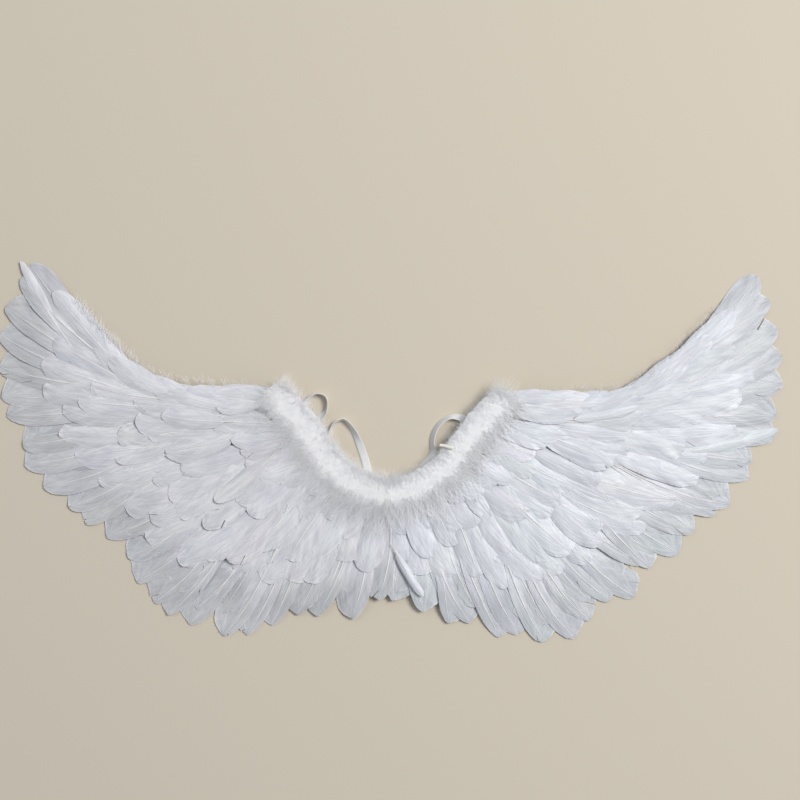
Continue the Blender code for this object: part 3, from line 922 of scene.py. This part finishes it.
def strands(rng, roots, tips, sag, spread, radius):
    """Tapered strands from roots to tips, bowed sideways by spread and downwards by sag; three sides each."""
    count = len(roots)
    share = np.linspace(0, 1, STRAND_SEGMENTS + 1)
    reach = tips - roots
    length = np.linalg.norm(reach, axis=1)
    bow = rng.normal(0, 1, (count, 3)) * (spread * length)[:, None]
    bow[:, 2] = np.abs(bow[:, 2]) - sag * length
    curve = (4 * share * (1 - share))[None, :, None]
    centers = roots[:, None, :] + reach[:, None, :] * share[None, :, None] + bow[:, None, :] * curve
    ahead = reach / np.maximum(length, 1e-6)[:, None]
    helper = np.where(np.abs(ahead[:, 2:3]) > 0.8, [[1.0, 0, 0]], [[0, 0, 1.0]])
    across = np.cross(helper, ahead)
    across /= np.linalg.norm(across, axis=1)[:, None]
    up = np.cross(ahead, across)
    turn = 2 * np.pi * np.arange(3) / 3
    ring = across[:, None, :] * np.cos(turn)[None, :, None] + up[:, None, :] * np.sin(turn)[None, :, None]
    size = radius * rng.uniform(0.7, 1.3, count)
    taper = 1.0 - TAPER * share
    points = centers[:, :, None, :] + ring[:, None, :, :] * (size[:, None] * taper[None, :])[:, :, None, None]
    quads, index, _ = ring_faces(len(share), 3)
    triangles = np.array([index[0, ::-1], index[-1]])
    offsets = np.arange(count)[:, None, None] * index.size
    share_of = np.tile(np.repeat(share, 3), count)
    return (points.reshape(-1, 3), (quads[None] + offsets).reshape(-1, 4),
            (triangles[None] + offsets).reshape(-1, 3), share_of)


def build_fluff(side_name, name, rng, roots, tips, sag, spread, radius, **places):
    """One piece of strands, painted a little darker towards their roots as shade where they lie among the
    others.
    """
    side = SIDES[side_name]
    points, quads, triangles, share = strands(rng, roots, tips, sag, spread, radius)
    points[:, 2] = np.maximum(points[:, 2], LOWEST_STRAND)
    points[:, 0] *= side
    shade = (STRAND_ROOT_PAINTED_SHADE + SHADE_RISE * share)[:, None] * FLUFF_PALE[side_name]
    batch = Batch()
    batch.add(points, quads, shade, points, triangles, flip=side < 0)
    batch.build(f"{side_name}_{name}", FLUFF, "marabou", sharp_degrees=SMOOTHER_DEGREES, **places)


def roll_height(off):
    """The height of the dense roll's surface this far from the band's middle."""
    return ROLL_MIDDLE_Z + ROLL_HALF_HEIGHT * np.sqrt(np.clip(1 - (off / ROLL_HALF_WIDTH) ** 2, 0.03, 1))


def trim_frame(line, share):
    """Places along a line, with the direction along it and the one to its right."""
    ahead = directions(line)
    reached = reach_along(line) / reach_along(line)[-1]
    heading = np.stack([np.interp(share, reached, ahead[:, k]) for k in (0, 1)], axis=1)
    heading /= np.linalg.norm(heading, axis=1)[:, None]
    return along(line, share), heading, np.stack([heading[:, 1], -heading[:, 0]], axis=1)


def on_roll(place, right, off):
    """Points on the roll this far to the right of places on its line."""
    return np.column_stack([place + right * off[:, None], roll_height(off)])


def build_trim_roll(side_name, side):
    """The dense, lumpy middle of the marabou band, which the strands stand on."""
    rng = draws(61, side)
    rows, around = ROLL_RINGS
    share = np.linspace(0, 1, rows)
    place, _, right = trim_frame(smooth(TRIM_LINE), share)
    turn = 2 * math.pi * np.arange(around) / around
    lumps = np.zeros((rows, around))
    for _ in range(ROLL_WAVES):
        lumps += np.sin(rng.uniform(20, 160) * share[:, None] + rng.integers(1, 6) * turn[None, :]
                        + rng.uniform(0, 6)) * rng.uniform(0.03, 0.08)
    lumps += rng.normal(0, 0.05, lumps.shape)
    size = (1 + ROLL_LUMPS * lumps) * np.minimum(1, 0.35 + 12 * np.minimum(1 - share, 0.5))[:, None]
    across = ROLL_HALF_WIDTH * size * np.cos(turn)
    height = ROLL_MIDDLE_Z + ROLL_HALF_HEIGHT * size * np.sin(turn)
    points = np.dstack([place[:, None, 0] + across * right[:, None, 0],
                        place[:, None, 1] + across * right[:, None, 1], height]).reshape(-1, 3)
    points[:, 0] *= side
    centers = np.array([[*place[k] * (side, 1), ROLL_MIDDLE_Z] for k in (0, -1)])
    everything = np.vstack([points, centers])
    quads, triangles = closed_rings(rows, around)
    batch = Batch()
    # The roll's colour carries painted shade, as it lies under the strands.
    batch.add(everything, quads[:, [0, 3, 2, 1]], ROLL_PAINTED_SHADE * FLUFF_PALE[side_name], everything,
              triangles[:, [0, 2, 1]], flip=side < 0)
    batch.build(f"{side_name}_trim_roll", FLUFF, "marabou", bends=side_name,
                stands_for=(f"{side_name}_neck_trim", "center_neck_trim"), sharp_degrees=SMOOTHER_DEGREES)


def build_trim_fluff(side_name, side):
    """Strands parted along the band's middle, towards the feathers and over the neckline, and wisps."""
    rng = draws(51, side)
    line = smooth(TRIM_LINE)
    neck_reach = NECK_SIDE_REACH[side_name]
    for name, count, start, length, radius, steep in FLUFF_PARTS:
        share = rng.uniform(0, 1, count)
        place, heading, right = trim_frame(line, share)
        lump = 1 + 0.12 * np.sin(share * 57) + 0.08 * np.sin(share * 131)
        size = length * rng.uniform(0.5, 1.15, count) * lump
        which = np.where(rng.random(count) < 0.5, 1, -1)
        size = np.where(which < 0, size * np.interp(share, (0.05, 0.35), neck_reach), size)
        rise = rng.uniform(0.0, steep, count) * math.pi
        slant = rng.normal(0.2, 0.4, count)
        core = on_roll(place, right, which * rng.uniform(*start, count)) - (0, 0, 0.2)
        end = core.copy()
        end[:, :2] += right * (which * np.cos(rise) * size)[:, None] + heading * (slant * size)[:, None]
        end[:, 2] += np.sin(rise) * size * 0.4 - np.cos(rise) * rng.uniform(-0.8, 2.6, count)
        build_fluff(side_name, f"trim_{name}", rng, core, end, sag=0.02, spread=0.11, radius=radius,
                    bends=side_name)
    wisps = zip(long_wisps(rng, line), end_wisps(rng, line, *END_WISPS[side_name]))
    roots, tips = (np.vstack(both) for both in wisps)
    build_fluff(side_name, "trim_wisps", rng, roots, tips, sag=0.0, spread=0.09, radius=0.11,
                bends=side_name)


def long_wisps(rng, line):
    """Roots and tips of the long strands that lie over the feathers, more of them near the middle."""
    share = rng.beta(1.0, 1.35, WISPS)
    place, heading, right = trim_frame(line, share)
    core = on_roll(place, right, rng.uniform(4, 16, WISPS))
    size = WISP_LENGTH * rng.uniform(0.4, 1.1, WISPS)
    slant = rng.normal(0.0, 0.45, WISPS)
    end = core.copy()
    end[:, :2] += right * size[:, None] + heading * (slant * size)[:, None]
    end[:, 2] = WISP_Z + rng.uniform(-0.6, 2.2, WISPS) - 0.03 * size
    return core, end


def end_wisps(rng, line, count, reach):
    """Roots and tips of the strands that fan out at the band's outer end."""
    place, heading, right = trim_frame(line, rng.uniform(0.9, 1.0, count))
    off = rng.uniform(-12, 9, count)
    start = on_roll(place, right, off)
    size = reach * rng.beta(1.6, 2.2, count)
    turn = rng.normal(0.0, 0.6, count) - 0.06 * off
    sideways = heading * (np.cos(turn) * size)[:, None] + right * (np.sin(-turn) * size)[:, None]
    return start, start + np.column_stack([sideways, rng.uniform(-2.0, 1.5, count)])


def build_edge_down(side_name, side):
    """Loose down that stands out of the leading edge."""
    rng = draws(71, side)
    line = smooth(EDGE_LINE)
    cores, ends = [], []
    for low, high, count, length in EDGE_DOWN[side_name]:
        share = low + (high - low) * rng.beta(1.3, 1.3, count)
        place, heading, right = trim_frame(line, share)
        size = length * rng.uniform(0.35, 1.1, count)
        back = rng.uniform(-1, 5, (count, 1))
        core = np.column_stack([place - right * back, rng.uniform(7.0, 10.0, count)])
        end = core.copy()
        end[:, :2] += right * size[:, None] + heading * (rng.normal(-0.35, 0.5, count) * size)[:, None]
        end[:, 2] += rng.uniform(-2.0, 2.5, count)
        cores.append(core)
        ends.append(end)
    build_fluff(side_name, "edge_down", rng, np.vstack(cores), np.vstack(ends), sag=0.02, spread=0.14,
                radius=0.13, body=f"{side_name}_wing")


# ---- the backs

RIM_INSET = 2.5  # from the backing's edge to the wire
HEM_INSET = 6.0
FELT_LOW = 2.85
FELT_THICK = 0.7
FELT_SPACING = 4.5
RIDGE_HEIGHT, RIDGE_WIDTH = 0.45, 1.8  # where the wire presses the felt out
COCKLE_HEIGHT = 0.10
LAP_DROP, LAP_START, LAP_LENGTH = 0.8, 56, 9  # the middle's felt over the wings' felts
WING_FELT_X = 66.0  # a wing's felt starts here, under the middle's
CENTER_FELT_X = 76.0
FELT_TINT = (1, 1, 1)
THREAD_WHITE = np.array([0.88, 0.88, 0.86])
THREAD_RADIUS = 0.28
THREAD_HEIGHTS = np.array([0.12, -0.16, 0.12])  # its ends are sunk into the underside, its middle stands out
THREAD_PLUMP = np.array([0.55, 1.0, 1.05, 1.0, 0.55])  # its radii along it
HEM_PITCH, HEM_STITCH = 4.6, 2.9
SEAM_PITCH, SEAM_STITCH = 4.2, 2.8
SEAM_INSET = 3  # from the middle felt's side edge to its seam
SEAM_BELOW, SEAM_ABOVE = 6, 4  # how far the seam ends before the felt's upper and lower corner
SEAM_STRIP = 12  # over what width those corners are looked for
HEM_STOP = 8  # how far the middle's hems end before its side edges


def filled(outline, spacing, edge_step):
    """Points and triangles that fill a closed outline evenly."""
    closed = np.vstack([outline, outline[:1]])
    steps = int(reach_along(closed)[-1] / edge_step)
    rim = along(closed, np.arange(steps) / steps)
    low, high = rim.min(0), rim.max(0)
    x = np.arange(low[0] + spacing / 2, high[0], spacing)
    y = np.arange(low[1] + spacing / 2, high[1], spacing * 0.866)
    grid = np.stack(np.meshgrid(x, y), axis=-1)
    grid[1::2, :, 0] += spacing / 2
    grid = grid.reshape(-1, 2)
    inner = grid[distance_outside(grid, rim) < -0.45 * spacing]
    spots = [Vector(p) for p in np.vstack([rim, inner])]
    edges = [(k, (k + 1) % len(rim)) for k in range(len(rim))]
    made = delaunay_2d_cdt(spots, edges, [], 1, 1e-4)
    points = np.array([tuple(v) for v in made[0]])
    triangles = np.array([f for f in made[2] if len(f) == 3])
    a, b, c = (points[triangles[:, k]] for k in range(3))
    area = (b[:, 0] - a[:, 0]) * (c[:, 1] - a[:, 1]) - (b[:, 1] - a[:, 1]) * (c[:, 0] - a[:, 0])
    triangles[area < 0] = triangles[area < 0][:, ::-1]
    return points, triangles


def add_sheet(batch, outline, spacing, low_of, high_of, tint, edge_step=2.5):
    """A sheet between two heights, each a function of (x, y)."""
    points, triangles = filled(outline, spacing, edge_step)
    count = len(points)
    top = np.column_stack([points, high_of(points[:, 0], points[:, 1])])
    bottom = np.column_stack([points, low_of(points[:, 0], points[:, 1])])
    edges = np.concatenate([triangles[:, [0, 1]], triangles[:, [1, 2]], triangles[:, [2, 0]]])
    rim = edges[~np.isin(edges[:, 1] * count + edges[:, 0], edges[:, 0] * count + edges[:, 1])]
    both = np.vstack([top, bottom])
    batch.add(both, rim_walls(rim, count), tint, both, np.vstack([triangles, triangles[:, ::-1] + count]))


def level_at(height):
    """The height function of a level face."""
    return lambda x, y: np.full(len(x), height)


def clip(outline, x, keep_above):
    """The part of an outline on one side of the line at x, where it crosses that line only twice."""
    found = []
    side = 1 if keep_above else -1
    for a, b in zip(outline, np.roll(outline, -1, axis=0)):
        a_in = side * (a[0] - x) >= 0
        b_in = side * (b[0] - x) >= 0
        if a_in:
            found.append(a)
        if a_in != b_in:
            found.append(a + (b - a) * (x - a[0]) / (b[0] - a[0]))
    return np.array(found)


def clip_middle(outline, limit):
    return clip(clip(outline, limit, False), -limit, True)


def inset(line, distance):
    """A line moved to its right-hand side as seen along it."""
    ahead = np.gradient(line, axis=0)
    ahead /= np.hypot(*ahead.T)[:, None]
    return line + distance * np.stack([ahead[:, 1], -ahead[:, 0]], axis=1)


def both_halves(half):
    """A smooth line from the middle outwards, continued on the other side."""
    half = smooth(half)
    return np.vstack([half[:0:-1] * (-1, 1), half])


def rounded_box(width, height, radius, middle, corner_steps=6):
    """The outline of a rectangle with round corners."""
    found = []
    for quarter, (sx, sy) in enumerate([(1, 1), (-1, 1), (-1, -1), (1, -1)]):
        corner = (middle[0] + sx * (width / 2 - radius), middle[1] + sy * (height / 2 - radius))
        for step in range(corner_steps + 1):
            angle = math.pi / 2 * (quarter + step / corner_steps)
            found.append((corner[0] + radius * math.cos(angle), corner[1] + radius * math.sin(angle)))
    return np.array(found)


def felt_low(x, y):
    """The felt's outer face: pressed out over the frame wire, with a slight cockle."""
    outside = LIE.outside(x, y)
    ridge = RIDGE_HEIGHT * np.exp(-((outside + RIM_INSET) / RIDGE_WIDTH) ** 2)
    cockle = COCKLE_HEIGHT * np.sin(x * 0.11 + 1.3 * np.sin(y * 0.05)) * np.sin(y * 0.09 + 0.6)
    return FELT_LOW - ridge + cockle * smoothstep((-outside - 4) / 10)


def felt_high(x, y):
    return felt_low(x, y) + FELT_THICK


def center_felt_low(x, y):
    """The middle's felt steps down where it laps over the wings' felts."""
    return felt_low(x, y) - LAP_DROP * smoothstep((np.abs(x) - LAP_START) / LAP_LENGTH)


def center_felt_high(x, y):
    return center_felt_low(x, y) + FELT_THICK


def stitches(batch, line, pitch, length, low_of, radius=THREAD_RADIUS):
    """A row of thread stitches along a line of (x, y), half sunk into the face at low_of(x, y)."""
    total = reach_along(line)[-1]
    for k in range(max(1, int(total / pitch))):
        ends = along(line, (np.array([0.0, 0.5, 1.0]) * length + k * pitch) / total)
        height = low_of(ends[:, 0], ends[:, 1]) + THREAD_HEIGHTS
        spots = along(np.column_stack([ends, height]), np.linspace(0, 1, 5))
        points, quads, triangles = tube(spots, radius * THREAD_PLUMP, 5)
        batch.add(points, quads, THREAD_WHITE, points, triangles)


def build_wing_felt(side_name, side):
    outline = clip(whole_outline(), WING_FELT_X, True)
    batch = Batch()
    add_sheet(batch, outline * (side, 1), FELT_SPACING, felt_low, felt_high, FELT_TINT)
    felt = batch.build(f"{side_name}_felt_back", FELT, "felt", bends=side_name,
                       stands_for=[f"{side_name}_wing_backing"], sharp_degrees=60.0)
    rim = inset(whole_outline(), HEM_INSET)
    rim = rim[rim[:, 0] > CENTER_FELT_X + 1]
    hem = Batch()
    stitches(hem, rim * (side, 1), HEM_PITCH, HEM_STITCH, felt_low)
    thread = hem.build(f"{side_name}_hem_stitches", THREAD, "felt", bends=side_name)


def build_center_felt():
    whole = np.vstack([both_halves(NECKLINE), both_halves(CENTER_LOWER_EDGE)[::-1]])
    outline = clip_middle(whole, CENTER_FELT_X)
    batch = Batch()
    add_sheet(batch, outline, FELT_SPACING, center_felt_low, center_felt_high, FELT_TINT)
    felt = batch.build("center_felt_back", FELT, "felt", body="center", stands_for=["center_backing"],
                       sharp_degrees=60.0)
    seams = Batch()
    for side in (1, -1):
        x = side * (CENTER_FELT_X - SEAM_INSET)
        near = np.abs(outline[:, 0]) > CENTER_FELT_X - SEAM_STRIP
        inside = outline[near & (np.sign(outline[:, 0]) == side)]
        ends = (inside[:, 1].min() + SEAM_ABOVE, inside[:, 1].max() - SEAM_BELOW)
        stitches(seams, np.array([(x, ends[0]), (x, ends[1])]), SEAM_PITCH, SEAM_STITCH, center_felt_low)
    for edge, distance in ((NECKLINE, HEM_INSET), (CENTER_LOWER_EDGE, -HEM_INSET)):
        line = inset(both_halves(edge), distance)
        line = line[np.abs(line[:, 0]) < CENTER_FELT_X - HEM_STOP]
        stitches(seams, line, HEM_PITCH, HEM_STITCH, center_felt_low)
    thread = seams.build("center_seam_stitches", THREAD, "felt", body="center")


BOARD_INSET = 5.5
BOARD_Z = (4.0, 5.7)
BOARD_SPACING = 7.0
CENTER_BOARD_X = 78.0
WING_BOARD_X = 122.0
CARD_WHITE = (0.86, 0.86, 0.85)


def build_boards():
    """The stiff boards, which end before the bend."""
    inner = np.vstack([inset(both_halves(NECKLINE), BOARD_INSET),
                       inset(both_halves(CENTER_LOWER_EDGE), -BOARD_INSET)[::-1]])
    wing = clip(inset(smooth(WING_EDGE), BOARD_INSET), WING_BOARD_X, True)
    boards = (("center", clip_middle(inner, CENTER_BOARD_X), "center", "center_board"),
              ("right", wing, "right_wing", "right_wing_board"),
              ("left", wing * (-1, 1), "left_wing", "left_wing_board"))
    for name, outline, body, node in boards:
        batch = Batch()
        add_sheet(batch, outline, BOARD_SPACING, level_at(BOARD_Z[0]), level_at(BOARD_Z[1]), CARD_WHITE)
        batch.build(f"{name}_stiff_board", CARD, "card", body=body, stands_for=[node])


STEEL_TINT = (0.62, 0.62, 0.63)
WIRE_RADIUS = 0.95
WIRE_POINTS = 420
WIRE_GAP = 0.4  # between the two halves' wires, on each side of the middle


def build_frame_wires():
    """A bent steel wire round each half, from the neckline's middle to the middle of the lower edge."""
    for (side_name, side), middle_node in zip(SIDES.items(), ("upper_center_wire", "lower_center_wire")):
        line = along(inset(whole_outline(), RIM_INSET), np.linspace(0.0, 1.0, WIRE_POINTS))
        line = line[line[:, 0] > WIRE_GAP]
        centers = np.column_stack([line * (side, 1), np.full(len(line), BEND_Z)])
        points, quads, triangles = tube(centers, WIRE_RADIUS, 8)
        batch = Batch()
        batch.add(points, quads, STEEL_TINT, points, triangles)
        batch.build(f"{side_name}_wire_loop", STEEL, "steel", bends=side_name,
                    stands_for=(f"{side_name}_frame_wire", middle_node))


PAD_SIZE = (68.0, 95.0)
PAD_MIDDLE = (0.0, -10.5)
PAD_CORNER = 12.0
PAD_TOP = 2.5
PAD_SEAM = 6.0  # how far the sewn channel runs inside the pad's edge
PAD_SPACING = 1.6
PAD_PITCH, PAD_STITCH = 4.0, 2.6
PAD_THREAD_PROUD = 0.05
PAD_ROUNDING, PAD_ROUNDED = 1.0, 3.5  # the height and the width of its rounded lower edge
PAD_GROOVE, PAD_GROOVE_WIDTH = 0.55, 1.1
PAD_TOP_ROUNDING, PAD_TOP_ROUNDED = 0.35, 3.0


def pad_edge(x, y):
    """How far inside the back pad's outline a point lies."""
    qx = np.abs(x - PAD_MIDDLE[0]) - (PAD_SIZE[0] / 2 - PAD_CORNER)
    qy = np.abs(y - PAD_MIDDLE[1]) - (PAD_SIZE[1] / 2 - PAD_CORNER)
    outside = np.hypot(np.maximum(qx, 0), np.maximum(qy, 0)) + np.minimum(np.maximum(qx, qy), 0)
    return PAD_CORNER - outside


def pad_low(x, y):
    """The pad's outer face, with a rounded edge and a groove along the seam."""
    inner = pad_edge(x, y)
    rounding = PAD_ROUNDING * (1 - np.clip(inner / PAD_ROUNDED, 0, 1)) ** 2
    seam = PAD_GROOVE * np.exp(-((inner - PAD_SEAM) / PAD_GROOVE_WIDTH) ** 2)
    return np.maximum(0.0, rounding + seam)


def pad_high(x, y):
    return PAD_TOP - PAD_TOP_ROUNDING * (1 - np.clip(pad_edge(x, y) / PAD_TOP_ROUNDED, 0, 1)) ** 2


def build_back_pad():
    """The felt pad that rests on the wearer's back, with a sewn channel inside its rim."""
    batch = Batch()
    outline = rounded_box(*PAD_SIZE, PAD_CORNER, PAD_MIDDLE)
    add_sheet(batch, outline, PAD_SPACING, pad_low, pad_high, FELT_TINT, PAD_SPACING)
    pad = batch.build("felt_back_pad", FELT, "felt", body="center", stands_for=["back_pad"],
                      sharp_degrees=70.0)
    width, height = (size - 2 * PAD_SEAM for size in PAD_SIZE)
    seam = rounded_box(width, height, PAD_CORNER - PAD_SEAM, PAD_MIDDLE)
    threads = Batch()
    stitches(threads, np.vstack([seam, seam[:1]]), PAD_PITCH, PAD_STITCH,
             lambda x, y: pad_low(x, y) - PAD_THREAD_PROUD)
    threads.build("pad_stitches", THREAD, "felt", body="center")


PATCH_SIDE = 11.0
PATCH_Z = (0.5, 2.45)
PATCH_REACH = 6.3  # from a strap's end to its patch's middle
PATCH_SEAM = 1.8  # how far the stitches run inside the patch's edge
PATCH_SPACING = 0.8
PATCH_PITCH, PATCH_STITCH = 1.8, 1.2
PATCH_THREAD_PROUD = 0.03
PATCH_THREAD_RADIUS = 0.2
PATCH_CORNER, PATCH_CORNER_STEPS = 1.5, 3
PATCH_ROUNDING, PATCH_ROUNDED = 0.5, 1.2
PATCH_GROOVE, PATCH_GROOVE_WIDTH = 0.25, 0.5


def build_patch(side_name, place, end):
    """A square felt patch over a strap's end, sewn with a box and a cross."""
    x, y = end[0], end[1] - PATCH_REACH

    def low(px, py):
        edge = PATCH_SIDE / 2 - np.maximum(np.abs(px - x), np.abs(py - y))
        groove = PATCH_GROOVE * np.exp(-((edge - PATCH_SEAM) / PATCH_GROOVE_WIDTH) ** 2)
        return PATCH_Z[0] + PATCH_ROUNDING * (1 - np.clip(edge / PATCH_ROUNDED, 0, 1)) ** 2 + groove

    batch = Batch()
    outline = rounded_box(PATCH_SIDE, PATCH_SIDE, PATCH_CORNER, (x, y), PATCH_CORNER_STEPS)
    add_sheet(batch, outline, PATCH_SPACING, low, level_at(PATCH_Z[1]), FELT_TINT, PATCH_SPACING)
    batch.build(f"{side_name}_{place}_patch", FELT, "felt", body="center",
                stands_for=[f"{side_name}_{place}_strap_patch"], sharp_degrees=70.0)
    threads = Batch()
    reach = PATCH_SIDE / 2 - PATCH_SEAM
    corners = [np.array([x + sx * reach, y + sy * reach]) for sx, sy in ((1, 1), (-1, 1), (-1, -1), (1, -1))]
    box = list(zip(corners, corners[1:] + corners[:1]))
    cross = [(corners[0], corners[2]), (corners[1], corners[3])]
    for ends in box + cross:
        stitches(threads, np.array(ends), PATCH_PITCH, PATCH_STITCH,
                 lambda px, py: low(px, py) - PATCH_THREAD_PROUD, PATCH_THREAD_RADIUS)
    threads.build(f"{side_name}_{place}_patch_stitches", THREAD, "felt", body="center")


# ---- arm straps

STRAP_WIDTH = 8.0
STRAP_THICK = 0.9
STRAP_LOW = 0.25
STRAP_STEP = 1.1
STRAP_CURVE_STEPS = 12
RIBS = 6
RIB_HEIGHT = 0.07
WEFT_HEIGHT = 0.035
TURN_SMOOTHINGS = 6
# Each strap's route over the floor, and how far its points turn the elastic on its edge, in degrees, where it
# stands in the neck opening.
STRAPS = {
    "left": ([(-20.5, 50), (-21.5, 60), (-25, 73), (-31, 88), (-38, 102), (-47, 111.5), (-57, 107), (-62, 96),
              (-70, 86), (-80, 90), (-80, 102), (-72, 112), (-65, 122), (-66, 134), (-76, 137), (-86, 128),
              (-92, 112), (-93, 88), (-90, 60), (-83, 30), (-70, 0), (-58, -18), (-51.5, -31), (-50, -42)],
             {0: 0, 2: 4, 3: 22, 4: 56, 5: 76, 6: 82, 7: 74, 8: 20, 9: 0, 11: 30, 12: 76, 13: 86, 14: 84,
              15: 60, 16: 10, 17: 0}),
    "right": ([(30, 50), (30.5, 56), (35, 65), (42, 73), (45, 81), (43.5, 90), (45.5, 101), (52, 111),
               (62, 117), (73, 116), (82, 109), (88, 97), (86, 84), (76, 77), (64, 71), (61, 60), (70, 52),
               (83, 49), (91, 39), (87, 27), (74, 23), (62, 17), (60, 5), (70, -3), (83, -8), (84, -20),
               (72, -26), (59, -28), (51.5, -33), (50, -42)],
              {0: 0, 3: 8, 4: 44, 5: 56, 6: 56, 7: 60, 8: 62, 9: 26, 10: 0}),
}


def strap_turns(line, turns, share):
    """How far the elastic is turned on its edge at these shares of its line, smoothed, in radians."""
    knots = reach_along(line)[::STRAP_CURVE_STEPS] / reach_along(line)[-1]
    keys = sorted(turns)
    turn = np.radians(np.interp(share, knots[keys], [turns[k] for k in keys]))
    for _ in range(TURN_SMOOTHINGS):
        turn[1:-1] = (turn[:-2] + 2 * turn[1:-1] + turn[2:]) / 4
    return turn


def build_strap(side_name):
    """A flat ribbed elastic that lies on the floor and stands half on edge at its arch, and its patches."""
    route, turns = STRAPS[side_name]
    line = smooth(route, STRAP_CURVE_STEPS)
    length = reach_along(line)[-1]
    count = int(length / STRAP_STEP)
    share = np.linspace(0, 1, count)
    spots = along(line, share)
    turn = strap_turns(line, turns, share)
    ahead = directions(spots)
    level = np.column_stack([ahead[:, 1], -ahead[:, 0], np.zeros(count)])
    across = level * np.cos(turn)[:, None] + np.array([0, 0, 1.0]) * np.sin(turn)[:, None]
    face = np.cross(across, np.column_stack([ahead, np.zeros(count)]))
    middle_z = STRAP_LOW + STRAP_THICK / 2 * np.cos(turn) + STRAP_WIDTH / 2 * np.sin(turn)
    columns = 4 * RIBS + 1
    v = np.linspace(-1, 1, columns)
    rib = RIB_HEIGHT * np.cos(v * math.pi * RIBS * 2)
    bulge = STRAP_THICK / 2 * np.sqrt(np.clip(1 - np.abs(v) ** 8, 0.12, 1)) + rib
    ring_v = np.concatenate([v, v[::-1]]) * STRAP_WIDTH / 2
    ring_h = np.concatenate([bulge, -bulge[::-1]])
    weft = WEFT_HEIGHT * np.cos(np.arange(count) * math.pi)[:, None]
    height = ring_h[None, :] + weft * np.sign(ring_h)[None, :]
    center = np.column_stack([spots, middle_z])
    points = (center[:, None, :] + ring_v[None, :, None] * across[:, None, :]
              + height[:, :, None] * face[:, None, :])
    grain = np.stack([np.broadcast_to(ring_v[None, :], height.shape),
                      np.broadcast_to((share * length)[:, None], height.shape), height], axis=-1)
    quads, index, _ = ring_faces(count, len(ring_v))
    caps = [end_cap(index[0], columns), end_cap(index[-1], columns)[:, [0, 3, 2, 1]]]
    batch = Batch()
    faces = np.vstack([quads[:, [0, 3, 2, 1]], *caps])
    batch.add(points.reshape(-1, 3), faces, (1, 1, 1), grain.reshape(-1, 3), flip=True)
    batch.build(f"{side_name}_elastic", ELASTIC, "elastic", body=f"{side_name}_strap",
                stands_for=[f"{side_name}_arm_strap"], sharp_degrees=60.0)
    for place, end in (("upper", route[0]), ("lower", route[-1])):
        build_patch(side_name, place, end)


def end_cap(ring, columns):
    """The quads across a strap's cut end, between the upper and the lower half of its ring of points."""
    a, b = ring[:columns - 1], ring[1:columns]
    c, d = ring[::-1][1:columns], ring[::-1][:columns - 1]
    return np.stack([a, d, c, b], axis=1)


CUT_QUILL_LINE = [(64, 85.5, 15.8), (59, 87, 17.8), (55, 88, 18.6), (50.7, 88.4, 18.8)]
CUT_QUILL_RADII = (1.9, 1.5)
CUT_QUILL_SIDES, CUT_QUILL_FLATTEN = 14, 0.85
CUT_QUILL_TINT = (1.0, 0.97, 0.88)


def build_cut_quill():
    """The bare, cut end of one feather's quill, which sticks out beside the right strap."""
    centers = smooth(CUT_QUILL_LINE)
    radii = np.linspace(*CUT_QUILL_RADII, len(centers))
    points, quads, triangles = tube(centers, radii, CUT_QUILL_SIDES, CUT_QUILL_FLATTEN)
    batch = Batch()
    batch.add(points, quads, CUT_QUILL_TINT, points, triangles)
    batch.build("cut_quill_end", FEATHER, "feather", body="center")


# ---- stage

def build_stage():
    bpy.ops.mesh.primitive_plane_add(size=8.0, location=(0, 0, 0))
    floor = bpy.context.object
    floor.name = "floor"
    made = Surface("pale_floor", Base_Color=(0.66, 0.60, 0.50, 1.0), Roughness=0.9, Specular_IOR_Level=0.1)
    floor.data.materials.append(made.material)


def area_light(name, place, size, power, color):
    data = bpy.data.lights.new(name, "AREA")
    data.shape = "DISK"
    data.size = size
    data.energy = power
    data.color = color
    light = bpy.data.objects.new(name, data)
    light.location = place
    light.rotation_euler = (Vector((0.0, 0.08, 0.0)) - Vector(place)).to_track_quat("-Z", "Y").to_euler()
    bpy.context.scene.collection.objects.link(light)


def build_lights():
    area_light("key_light", (2.3, 1.3, 3.3), 1.7, 136.0, (1.0, 0.985, 0.96))
    area_light("fill_light", (-1.6, 1.0, 1.8), 2.0, 6.0, (0.93, 0.96, 1.0))
    world = bpy.data.worlds.new("studio")
    world.use_nodes = True
    world.node_tree.nodes["Background"].inputs["Color"].default_value = (0.93, 0.95, 1.0, 1.0)
    world.node_tree.nodes["Background"].inputs["Strength"].default_value = 0.30
    bpy.context.scene.world = world
    bpy.context.scene.view_settings.view_transform = "Standard"


CAMERA_MIDDLE = (0.0097, 0.133)
CAMERA_SPAN = 0.819  # metres across the picture, on the floor
CAMERA_LENS = 60.0
CAMERA_SENSOR = 36.0
CAMERA_ROLL = 1.35


def build_camera():
    data = bpy.data.cameras.new("camera")
    data.lens = CAMERA_LENS
    data.sensor_width = CAMERA_SENSOR
    camera = bpy.data.objects.new("camera", data)
    camera.location = (*CAMERA_MIDDLE, CAMERA_SPAN * CAMERA_LENS / CAMERA_SENSOR)
    camera.rotation_euler = (0.0, 0.0, math.radians(CAMERA_ROLL))
    bpy.context.scene.collection.objects.link(camera)
    bpy.context.scene.camera = camera


build_camera()
build_lights()
build_stage()
build_boards()
build_frame_wires()
build_center_felt()
build_back_pad()
for side_name, side in SIDES.items():
    build_wing_felt(side_name, side)
    for number in range(len(ROWS)):
        build_row(number, side_name, side)
    build_edge_row(side_name, side)
    build_tip_feathers(side_name, side)
    build_trim_roll(side_name, side)
    build_trim_fluff(side_name, side)
    build_edge_down(side_name, side)
build_strap("left")
build_strap("right")
build_cut_quill()
